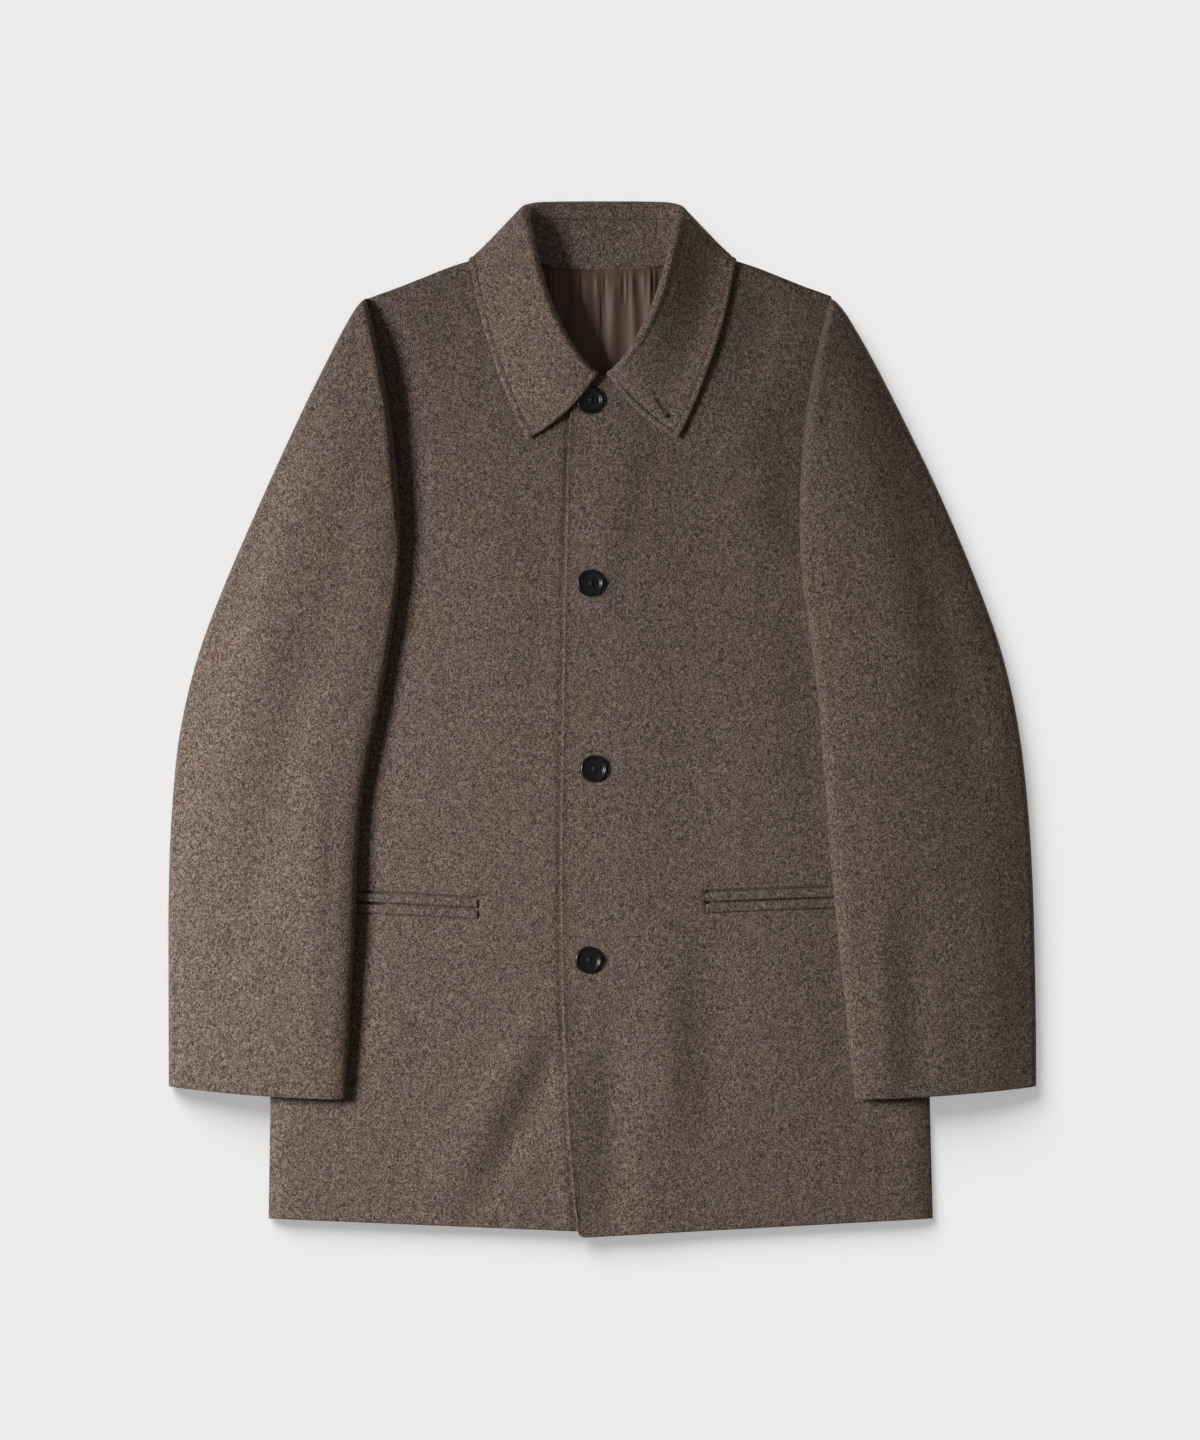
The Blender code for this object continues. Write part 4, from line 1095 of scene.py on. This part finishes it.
def polished():
    """Polished black button with faint mottling."""
    colours = bpy.context.scene.coat_colours
    material, tree, shader = shader_of("polished button")
    place = node(tree, "ShaderNodeTexCoord", "on the piece")
    mottle = node(tree, "ShaderNodeTexNoise", "mottling", scale=260.0, detail=3.0)
    tone = two_shades(tree, "button colour", colours.button, 0.6, 1.5)
    gloss = node(tree, "ShaderNodeMapRange", "handling wear", to_min=0.18, to_max=0.3)
    wire(
        tree,
        (place, "Object", mottle, "Vector"), (mottle, "Fac", tone, "Factor"),
        (mottle, "Fac", gloss, "Value"), (tone, 2, shader, "Base Color"), (gloss, 0, shader, "Roughness"),
    )
    shader.inputs["Specular IOR Level"].default_value = 0.5
    return material


def thread(name, colour):
    """Sewing thread with a fine twist."""
    if name in bpy.data.materials:
        return bpy.data.materials[name]
    material, tree, shader = shader_of(name)
    place = node(tree, "ShaderNodeTexCoord", "on the piece")
    twist = node(tree, "ShaderNodeTexNoise", "twist", scale=1500.0, detail=2.0)
    tone = two_shades(tree, "thread colour", colour, 0.55, 1.45)
    wire(
        tree,
        (place, "Object", twist, "Vector"), (twist, "Fac", tone, "Factor"),
        (tone, 2, shader, "Base Color"),
    )
    shader.inputs["Roughness"].default_value = 0.8
    return material


def new_tree(name, inputs):
    """Empty Geometry Nodes tree with a geometry socket at each end and named inputs."""
    tree = bpy.data.node_groups.new(name, "GeometryNodeTree")
    tree.interface.new_socket("Geometry", in_out="INPUT", socket_type="NodeSocketGeometry")
    for label, kind in inputs:
        tree.interface.new_socket(label, in_out="INPUT", socket_type=kind)
    tree.interface.new_socket("Geometry", in_out="OUTPUT", socket_type="NodeSocketGeometry")
    return tree, tree.nodes.new("NodeGroupInput"), tree.nodes.new("NodeGroupOutput")


def finish_tree(tree, given, result, instances):
    """Ends a tree: real geometry, shaded smooth, with the given material."""
    real = node(tree, "GeometryNodeRealizeInstances", "real geometry")
    smooth = node(tree, "GeometryNodeSetShadeSmooth", "smooth")
    finish = node(tree, "GeometryNodeSetMaterial", "material")
    tree.links.new(instances, real.inputs[0])
    wire(
        tree,
        (real, 0, smooth, "Geometry"), (smooth, 0, finish, "Geometry"),
        (given, "Material", finish, "Material"), (finish, 0, result, 0),
    )


def stitch_tree():
    """Stitches of one size at even steps along a path."""
    name = "stitches along a path"
    if name in bpy.data.node_groups:
        return bpy.data.node_groups[name]
    number = "NodeSocketFloat"
    tree, given, result = new_tree(name, (
        ("Step", number), ("Length", number), ("Thickness", number), ("Material", "NodeSocketMaterial"),
    ))
    curve = node(tree, "GeometryNodeMeshToCurve", "path")
    even = node(tree, "GeometryNodeResampleCurve", "even steps", mode="LENGTH")
    tangent = node(tree, "GeometryNodeInputTangent", "sewing direction")
    turn = node(tree, "FunctionNodeAlignRotationToVector", "along the seam", axis="X")
    bead = node(tree, "GeometryNodeMeshUVSphere", "stitch", segments=6, rings=5, radius=0.5)
    scale = node(tree, "ShaderNodeCombineXYZ", "stitch size")
    shaped = node(tree, "GeometryNodeTransform", "stitch of its size")
    placed = node(tree, "GeometryNodeInstanceOnPoints", "sewn")
    wire(
        tree,
        (given, "Geometry", curve, "Mesh"), (curve, 0, even, "Curve"), (given, "Step", even, "Length"),
        (tangent, 0, turn, "Vector"), (given, "Length", scale, "X"), (given, "Thickness", scale, "Y"),
        (given, "Thickness", scale, "Z"), (bead, "Mesh", shaped, "Geometry"), (scale, 0, shaped, "Scale"),
        (even, 0, placed, "Points"), (shaped, 0, placed, "Instance"), (turn, 0, placed, "Rotation"),
    )
    finish_tree(tree, given, result, placed.outputs[0])
    return tree


def nap_tree():
    """Short fibres over a cloth, denser where it turns away from above."""
    name = "wool nap"
    if name in bpy.data.node_groups:
        return bpy.data.node_groups[name]
    number = "NodeSocketFloat"
    tree, given, result = new_tree(name, (
        ("Density", number), ("Edge Density", number), ("Length", number), ("Width", number),
        ("Seed", "NodeSocketInt"), ("Material", "NodeSocketMaterial"),
    ))
    normal = node(tree, "GeometryNodeInputNormal", "facing")
    parts = node(tree, "ShaderNodeSeparateXYZ", "facing up")
    shown = node(tree, "FunctionNodeCompare", "faces that show", {1: -0.3}, operation="GREATER_THAN")
    place = node(tree, "GeometryNodeInputPosition", "place")
    height = node(tree, "ShaderNodeSeparateXYZ", "height")
    clear = node(tree, "FunctionNodeCompare", "clear of the floor", {1: 0.0024}, operation="GREATER_THAN")
    roots = node(tree, "FunctionNodeBooleanMath", "faces with nap", operation="AND")
    steep = node(tree, "ShaderNodeMapRange", "edges", from_min=0.8, from_max=0.2)
    density = node(tree, "ShaderNodeMath", "fibres per square metre", operation="MULTIPLY_ADD")
    scatter = node(tree, "GeometryNodeDistributePointsOnFaces", "roots")
    ribbon = node(
        tree, "GeometryNodeCurvePrimitiveBezierSegment", "fibre", resolution=2, start=(0.0, 0.0, 0.0))
    bend = node(tree, "ShaderNodeCombineXYZ", "fibre bend")
    tip = node(tree, "ShaderNodeCombineXYZ", "fibre tip")
    half = node(tree, "ShaderNodeMath", "half length", {1: 0.55}, operation="MULTIPLY")
    edge = node(tree, "GeometryNodeCurvePrimitiveLine", "fibre width")
    side = node(tree, "ShaderNodeCombineXYZ", "fibre side")
    strip = node(tree, "GeometryNodeCurveToMesh", "fibre strip")
    angles = node(
        tree, "FunctionNodeRandomValue", "lean", {0: (-0.5, -0.5, 0.0), 1: (0.5, 0.5, 6.28)},
        data_type="FLOAT_VECTOR")
    lean = node(tree, "FunctionNodeEulerToRotation", "lean turn")
    turned = node(tree, "FunctionNodeRotateRotation", "leaning", rotation_space="LOCAL")
    sizes = node(tree, "FunctionNodeRandomValue", "uneven length", {2: 0.45, 3: 1.25}, data_type="FLOAT")
    placed = node(tree, "GeometryNodeInstanceOnPoints", "nap")
    wire(
        tree,
        (normal, 0, parts, 0), (parts, "Z", shown, 0), (parts, "Z", steep, "Value"),
        (steep, 0, density, 0), (given, "Edge Density", density, 1), (given, "Density", density, 2),
        (given, "Geometry", scatter, "Mesh"), (place, 0, height, 0), (height, "Z", clear, 0),
        (shown, 0, roots, 0), (clear, 0, roots, 1), (roots, 0, scatter, "Selection"),
        (density, 0, scatter, "Density"), (given, "Seed", scatter, "Seed"),
        (given, "Seed", angles, "Seed"), (given, "Seed", sizes, "Seed"), (given, "Length", half, 0),
        (half, 0, bend, "Z"), (half, 0, tip, "Y"), (given, "Length", tip, "Z"),
        (bend, 0, ribbon, "Start Handle"), (tip, 0, ribbon, "End Handle"), (tip, 0, ribbon, "End"),
        (given, "Width", side, "X"), (side, 0, edge, "End"), (ribbon, 0, strip, "Curve"),
        (edge, 0, strip, "Profile Curve"), (angles, 0, lean, 0),
        (scatter, "Rotation", turned, "Rotation"), (lean, 0, turned, "Rotate By"),
        (scatter, "Points", placed, "Points"), (strip, 0, placed, "Instance"),
        (turned, 0, placed, "Rotation"), (sizes, "Value", placed, "Scale"),
    )
    finish_tree(tree, given, result, placed.outputs[0])
    return tree


def grown(name, source, tree, values):
    """Plain mesh piece that a Geometry Nodes tree makes from a source mesh."""
    carrier = add_piece(name, source.copy())
    nodes = carrier.modifiers.new(tree.name, "NODES")
    nodes.node_group = tree
    for item in tree.interface.items_tree:
        if item.in_out == "INPUT" and item.name in values:
            nodes[item.identifier] = values[item.name]
    made = baked(carrier)
    carrier.modifiers.clear()
    carrier.data = made
    made.name = name
    return carrier


def path_mesh(name, paths):
    """Open lines in mm as the edges of one mesh."""
    mesh = bpy.data.meshes.new(name)
    verts = []
    edges = []
    for path in paths:
        first = len(verts)
        verts.extend((np.array(path) * MM).tolist())
        edges.extend((first + i, first + i + 1) for i in range(len(path) - 1))
    mesh.from_pydata(verts, edges, [])
    return mesh


def size(name):
    """One of the coat's sizes in mm."""
    return getattr(bpy.context.scene.coat_sizes, name) / MM


def stitch_line(fall):
    """Line of the edge stitches on the collar's outer face, round both leaves."""
    normals = grid_normals(fall, False)
    column = fall.shape[1] - 1 - STITCH_COLUMN
    row = STITCH_COLUMN
    front = [(row, j) for j in range(22, column)]
    outer = [(i, column) for i in range(row, len(fall) - row)]
    back = [(len(fall) - 1 - row, j) for j in range(column, 21, -1)]
    return [fall[i, j] + 0.12 * normals[i, j] for i, j in front + outer + back]


def around(route, ring):
    """Closed line round a slit, wider round the eyelet at its first end."""
    ahead = (route[-1] - route[0]) / np.linalg.norm(route[-1] - route[0])
    aside = np.array((-ahead[1], ahead[0]))
    line = []
    for angle in np.radians(np.linspace(50.0, 310.0, 15)):
        line.append(route[0] + ring * (math.cos(angle) * ahead + math.sin(angle) * aside))
    line.extend(spot - SLIT_SIDE * aside for spot in route[2:])
    line.append(route[-1] + SLIT_SIDE * ahead)
    line.extend(spot + SLIT_SIDE * aside for spot in route[:1:-1])
    return np.array(line + line[:1])


def on_cloth(plan, grid, above):
    """Points a little above the left front, or above the leaf of a collar grid, at plan spots."""
    plan = np.asarray(plan, dtype=float)
    if grid is None:
        z = front_height(plan[:, 0], plan[:, 1]) + lap_lift(plan[:, 0])
        return np.column_stack((plan, z + above))
    leaf = grid[(grid[..., 2] > 13.0) & (grid[..., 0] > 0)]
    points = []
    for spot in plan:
        gap = np.linalg.norm(leaf[:, :2] - spot, axis=1)
        near = np.argsort(gap)[:4]
        weight = 1.0 / (gap[near] + 0.05)
        points.append((*spot, float((leaf[near, 2] * weight).sum() / weight.sum()) + above))
    return np.array(points)


def lamp(name, kind, power, place, target):
    """Light at a place, aimed at a target."""
    light = bpy.data.lights.new(name, kind)
    light.energy = power
    made = bpy.data.objects.new(name, light)
    made.location = place
    aim = Vector(target) - Vector(place)
    made.rotation_euler = aim.to_track_quat("-Z", "Y").to_euler()
    bpy.context.scene.collection.objects.link(made)
    return made


def floor_finish(stage):
    """Matt pale floor that glows a little, so that it stays even under the side light."""
    material, tree, shader = shader_of("pale floor")
    place = node(tree, "ShaderNodeTexCoord", "on the floor")
    grain = node(tree, "ShaderNodeTexNoise", "paper grain", scale=30.0, detail=2.0)
    tone = two_shades(tree, "floor colour", stage.floor, 0.995, 1.0)
    wire(
        tree,
        (place, "Object", grain, "Vector"), (grain, "Fac", tone, "Factor"),
        (tone, 2, shader, "Base Color"),
    )
    fill(shader, {
        "Roughness": 1.0, "Specular IOR Level": 0.0, "Emission Color": (1.0, 1.0, 1.0, 1.0),
        "Emission Strength": stage.floor_glow,
    })
    return material


class CoatSizes(PropertyGroup):
    """Sizes that a user may change."""

    wool_wall: FloatProperty(name="Wool", description="Thickness of the wool", default=0.0024, unit="LENGTH")
    collar_wall: FloatProperty(
        name="Collar", description="Thickness of the collar", default=0.0028, unit="LENGTH")
    lining_wall: FloatProperty(
        name="Lining", description="Thickness of the lining", default=0.001, unit="LENGTH")
    welt_wall: FloatProperty(
        name="Pocket lips", description="Thickness of a pocket lip", default=0.0016, unit="LENGTH")
    rim: FloatProperty(
        name="Edge roundness", description="Width of the rounded cloth edge", default=0.0019, unit="LENGTH")
    button_radius: FloatProperty(
        name="Button radius", description="Radius of a button", default=0.0114, unit="LENGTH")
    speckle: FloatProperty(
        name="Speckle", description="Size of a tuft of wool fibres", default=0.0021, unit="LENGTH")
    stitch: FloatProperty(name="Stitch", description="Length of a stitch", default=0.0026, unit="LENGTH")
    stitch_step: FloatProperty(
        name="Stitch step", description="Distance from stitch to stitch", default=0.0034, unit="LENGTH")
    nap_length: FloatProperty(
        name="Nap", description="Length of the longest fibres", default=0.0013, unit="LENGTH")
    nap_density: FloatProperty(
        name="Nap density", description="Fibres on a square metre", default=30000.0)
    nap_seed: IntProperty(name="Nap seed", description="Seed of the scattered fibres", default=7)


class CoatColours(PropertyGroup):
    """Colours that a user may change."""

    wool_dark: FloatVectorProperty(
        name="Dark fibres", description="Darkest wool fibres", default=(0.040, 0.0272, 0.0212),
        subtype="COLOR")
    wool_base: FloatVectorProperty(
        name="Wool", description="Main colour of the wool", default=(0.118, 0.0838, 0.0664), subtype="COLOR")
    wool_light: FloatVectorProperty(
        name="Light fibres", description="Lightest wool fibres", default=(0.25, 0.195, 0.161),
        subtype="COLOR")
    contrast: FloatProperty(
        name="Contrast", description="Difference between dark and light fibres", default=5.1, min=0.0)
    blotch: FloatProperty(
        name="Uneven dye", description="Strength of the soft blotches", default=0.14, subtype="FACTOR")
    lining: FloatVectorProperty(
        name="Lining", description="Colour of the satin", default=(0.142, 0.088, 0.062), subtype="COLOR")
    button: FloatVectorProperty(
        name="Buttons", description="Colour of the buttons", default=(0.006, 0.006, 0.0065), subtype="COLOR")
    thread: FloatVectorProperty(
        name="Button thread", description="Colour of the button thread", default=(0.03, 0.024, 0.017),
        subtype="COLOR")
    seam_thread: FloatVectorProperty(
        name="Seam thread", description="Colour of the edge stitches", default=(0.045, 0.032, 0.026),
        subtype="COLOR")


class CoatStage(PropertyGroup):
    """Floor and light."""

    floor: FloatVectorProperty(
        name="Floor", description="Colour of the floor", default=(0.80, 0.80, 0.80), subtype="COLOR")
    floor_glow: FloatProperty(name="Floor glow", description="Even light of the floor", default=0.345)
    key: FloatProperty(name="Key light", description="Power of the key light", default=212.0, unit="POWER")
    floor_sun: FloatProperty(name="Floor light", description="Light on the floor", default=2.89)
    fill: FloatProperty(name="Fill", description="Light from all round", default=0.13)


class COAT_OT_back(Operator):
    """Back panel, flat on the floor and round the shoulder fold"""

    bl_idname = "coat.back"
    bl_label = "Back"

    def execute(self, context):
        points, kept = back_points()
        piece = shell("coat_back", points, size("wool_wall"), size("rim"), turned=True, kept=kept)
        dress(piece, wool("back wool"), "back")
        return {"FINISHED"}


class COAT_OT_lining(Operator):
    """Satin back lining"""

    bl_idname = "coat.lining"
    bl_label = "Lining"

    def execute(self, context):
        points = lining_points()
        piece = shell("coat_lining", points, size("lining_wall"), LINING_RIM)
        dress(piece, satin(), "lining_back")
        return {"FINISHED"}


class COAT_OT_fronts(Operator):
    """Both fronts, the wearer's left over the right"""

    bl_idname = "coat.fronts"
    bl_label = "Fronts"

    def execute(self, context):
        right = front_points(
            RIGHT_FRONT_EDGE, RIGHT_NECKLINE, RIGHT_SIDE, RIGHT_ARMHOLE, RIGHT_POCKET, False)
        piece = shell("coat_front_right", right, size("wool_wall"), size("rim"), turned=True)
        dress(piece, wool("right front wool"), "front_right")
        left = front_points(LEFT_FRONT_EDGE, LEFT_NECKLINE, LEFT_SIDE, LEFT_ARMHOLE, LEFT_POCKET, True)
        piece = shell("coat_front_left", left, size("wool_wall"), size("rim"))
        dress(piece, wool("left front wool"), "front_left")
        return {"FINISHED"}


class COAT_OT_sleeves(Operator):
    """Both sleeves, pressed flat over the fronts"""

    bl_idname = "coat.sleeves"
    bl_label = "Sleeves"

    def execute(self, context):
        for side, sign, turn in (("right", -1, -18.0), ("left", 1, 18.0)):
            points = sleeve_points(sign)
            name = "coat_sleeve_" + side
            piece = shell(name, points, size("wool_wall"), size("rim"), closed=True, turned=sign < 0)
            dress(piece, wool(side + " sleeve wool", turn), "sleeve_" + side)
        return {"FINISHED"}


class COAT_OT_collar(Operator):
    """Collar stand and turned-down fall with its edge stitching"""

    bl_idname = "coat.collar"
    bl_label = "Collar"

    def execute(self, context):
        fall, stand = collar_points()
        piece = shell("coat_collar_stand", stand, size("collar_wall"), size("rim"), turned=True)
        # Painted light: both collar pieces get a lighter copy of the body's wool, standing in for brighter
        # light on the collar.
        dress(piece, wool("collar stand wool", 90.0, COLLAR_PAINTED_LIGHT), "collar_stand")
        piece = shell("coat_collar_fall", fall, size("collar_wall"), size("rim"))
        dress(piece, wool("collar wool", 30.0, COLLAR_PAINTED_LIGHT), "collar_fall")
        line = stitch_line(fall)
        values = {
            "Step": size("stitch_step") * MM, "Length": size("stitch") * MM, "Thickness": STITCH_WIDTH * MM,
            "Material": thread("seam thread", context.scene.coat_colours.seam_thread),
        }
        sewn = grown("collar_stitches", path_mesh("collar stitch line", [line]), stitch_tree(), values)
        dress(sewn, values["Material"])
        return {"FINISHED"}


class COAT_OT_pockets(Operator):
    """Two lips of each pocket"""

    bl_idname = "coat.pockets"
    bl_label = "Pockets"

    def execute(self, context):
        for side, pocket, sign in (("right", RIGHT_POCKET, -1.0), ("left", LEFT_POCKET, 1.0)):
            for label, shift in (("upper", 1.0), ("lower", -1.0)):
                node_name = "pocket_" + side + "_" + label + "_welt"
                points = welt_points(pocket, sign, shift)
                piece = shell("coat_" + node_name, points, size("welt_wall"), WELT_RIM, turned=sign < 0)
                dress(piece, wool("pocket wool", 90.0), node_name)
        return {"FINISHED"}


class COAT_OT_buttonholes(Operator):
    """Worked buttonholes: one under each button and the keyhole of the left collar leaf"""

    bl_idname = "coat.buttonholes"
    bl_label = "Buttonholes"

    def execute(self, context):
        fall = collar_points()[0]
        routes = [np.linspace(COLLAR_KEYHOLE[0], COLLAR_KEYHOLE[1], 9)]
        for spot, end in zip(BUTTON_SPOTS, BUTTONHOLE_ENDS):
            routes.append(np.column_stack((np.linspace(spot.x + end, spot.x - 8.0, 11), np.full(11, spot.y))))
        slits = bmesh.new()
        rims = []
        for index, route in enumerate(routes):
            grid = fall if index == 0 else None
            # Painted shade: near-black strands sunk into each slit and eyelet stand for the shade inside the
            # cut.
            tube_into(slits, on_cloth(route, grid, -0.24), SLIT_RADIUS)
            eyelet = on_cloth(route[:1], grid, 0.0)[0]
            hole = KEYHOLE_EYELET if index == 0 else BUTTONHOLE_EYELET
            tube_into(slits, [eyelet - (0.0, 0.0, 0.6), eyelet + (0.0, 0.0, 0.5)], hole, sides=14)
            rims.append(on_cloth(around(route, hole + 0.55), grid, 0.1))
        cotton = thread("seam thread", context.scene.coat_colours.seam_thread)
        # Painted shade: near-black colour for the slit and eyelet strands.
        dark = thread("buttonhole shade", (0.006, 0.005, 0.005))
        dress(add_piece("buttonhole_slits", mesh_of("buttonhole_slits", slits)), dark)
        values = {"Step": 0.0009, "Length": 0.0013, "Thickness": 0.00055, "Material": cotton}
        sewn = grown("buttonhole_stitches", path_mesh("buttonhole rims", rims), stitch_tree(), values)
        dress(sewn, cotton)
        return {"FINISHED"}


class COAT_OT_buttons(Operator):
    """Four buttons with their thread"""

    bl_idname = "coat.buttons"
    bl_label = "Buttons"

    def execute(self, context):
        black = polished()
        cotton = thread("button thread", context.scene.coat_colours.thread)
        for number, spot in enumerate(BUTTON_SPOTS, start=1):
            name = "button_" + str(number)
            piece = button_mesh("coat_" + name, spot, size("button_radius"))
            dress(piece, black, name)
            sewn = add_piece(name + "_thread", thread_mesh(name + "_thread", spot))
            dress(sewn, cotton)
        return {"FINISHED"}


class COAT_OT_nap(Operator):
    """Short wool fibres over the outer cloth"""

    bl_idname = "coat.nap"
    bl_label = "Nap"

    def execute(self, context):
        sizes = context.scene.coat_sizes
        for index, name in enumerate(NAPPED):
            piece = bpy.data.objects[name]
            values = {
                "Density": sizes.nap_density, "Edge Density": 4.0 * sizes.nap_density,
                "Length": sizes.nap_length, "Width": NAP_WIDTH * MM, "Seed": sizes.nap_seed + index,
                "Material": piece.data.materials[0],
            }
            fibres = grown(name + "_nap", piece.data, nap_tree(), values)
            dress(fibres, piece.data.materials[0])
        return {"FINISHED"}


class COAT_OT_stage(Operator):
    """Pale floor, soft light from the left and a camera straight above"""

    bl_idname = "coat.stage"
    bl_label = "Stage"

    def execute(self, context):
        scene = context.scene
        stage = scene.coat_stage
        scene.view_settings.view_transform = "Standard"
        shape = bmesh.new()
        bmesh.ops.create_grid(shape, x_segments=4, y_segments=4, size=9.0)
        bmesh.ops.translate(shape, verts=shape.verts, vec=(0.0, 0.0, -0.0002))
        floor = add_piece("floor", mesh_of("floor", shape))
        floor.data.materials.append(floor_finish(stage))
        floor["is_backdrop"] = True
        coat = bpy.data.collections.new("lit by the key")
        ground = bpy.data.collections.new("lit by the floor light")
        ground.objects.link(floor)
        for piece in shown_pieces():
            coat.objects.link(piece)
        key = lamp("key", "SPOT", stage.key, KEY_PLACE, KEY_TARGET)
        key.data.shadow_soft_size = KEY_SOFTNESS
        key.data.spot_size = math.radians(80.0)
        key.data.spot_blend = 1.0
        key.light_linking.receiver_collection = coat
        sun = lamp("floor light", "SUN", stage.floor_sun, FLOOR_LIGHT_PLACE, (0.0, 0.0, 0.0))
        sun.data.angle = math.radians(40.0)
        sun.light_linking.receiver_collection = ground
        world = bpy.data.worlds.new("studio")
        world.use_nodes = True
        back = world.node_tree.nodes["Background"]
        back.inputs["Color"].default_value = FILL_COLOUR
        back.inputs["Strength"].default_value = stage.fill
        scene.world = world
        lens = bpy.data.cameras.new("camera")
        lens.lens = 240.0
        lens.sensor_width = 36.0
        camera = bpy.data.objects.new("camera", lens)
        camera.location = CAMERA_PLACE
        scene.collection.objects.link(camera)
        scene.camera = camera
        return {"FINISHED"}


class COAT_PT_panel(Panel):
    """Sizes, colours and pieces of the coat"""

    bl_label = "Short Wool Coat"
    bl_idname = "COAT_PT_panel"
    bl_space_type = "VIEW_3D"
    bl_region_type = "UI"
    bl_category = "Coat"

    def draw(self, context):
        scene = context.scene
        for operator in OPERATORS:
            self.layout.operator(operator.bl_idname)
        for group in (scene.coat_sizes, scene.coat_colours, scene.coat_stage):
            box = self.layout.box()
            for name in group.__annotations__:
                box.prop(group, name)


OPERATORS = (
    COAT_OT_back, COAT_OT_lining, COAT_OT_fronts, COAT_OT_sleeves, COAT_OT_collar, COAT_OT_pockets,
    COAT_OT_buttonholes, COAT_OT_buttons, COAT_OT_nap, COAT_OT_stage,
)
CLASSES = (CoatSizes, CoatColours, CoatStage, *OPERATORS, COAT_PT_panel)


def register():
    for entry in CLASSES:
        bpy.utils.register_class(entry)
    bpy.types.Scene.coat_sizes = PointerProperty(type=CoatSizes)
    bpy.types.Scene.coat_colours = PointerProperty(type=CoatColours)
    bpy.types.Scene.coat_stage = PointerProperty(type=CoatStage)


def unregister():
    del bpy.types.Scene.coat_stage
    del bpy.types.Scene.coat_colours
    del bpy.types.Scene.coat_sizes
    for entry in reversed(CLASSES):
        bpy.utils.unregister_class(entry)


def main():
    register()
    bpy.ops.coat.back()
    bpy.ops.coat.lining()
    bpy.ops.coat.fronts()
    bpy.ops.coat.sleeves()
    bpy.ops.coat.collar()
    bpy.ops.coat.pockets()
    bpy.ops.coat.buttonholes()
    bpy.ops.coat.buttons()
    bpy.ops.coat.nap()
    bpy.ops.coat.stage()


if __name__ == "__main__":
    main()
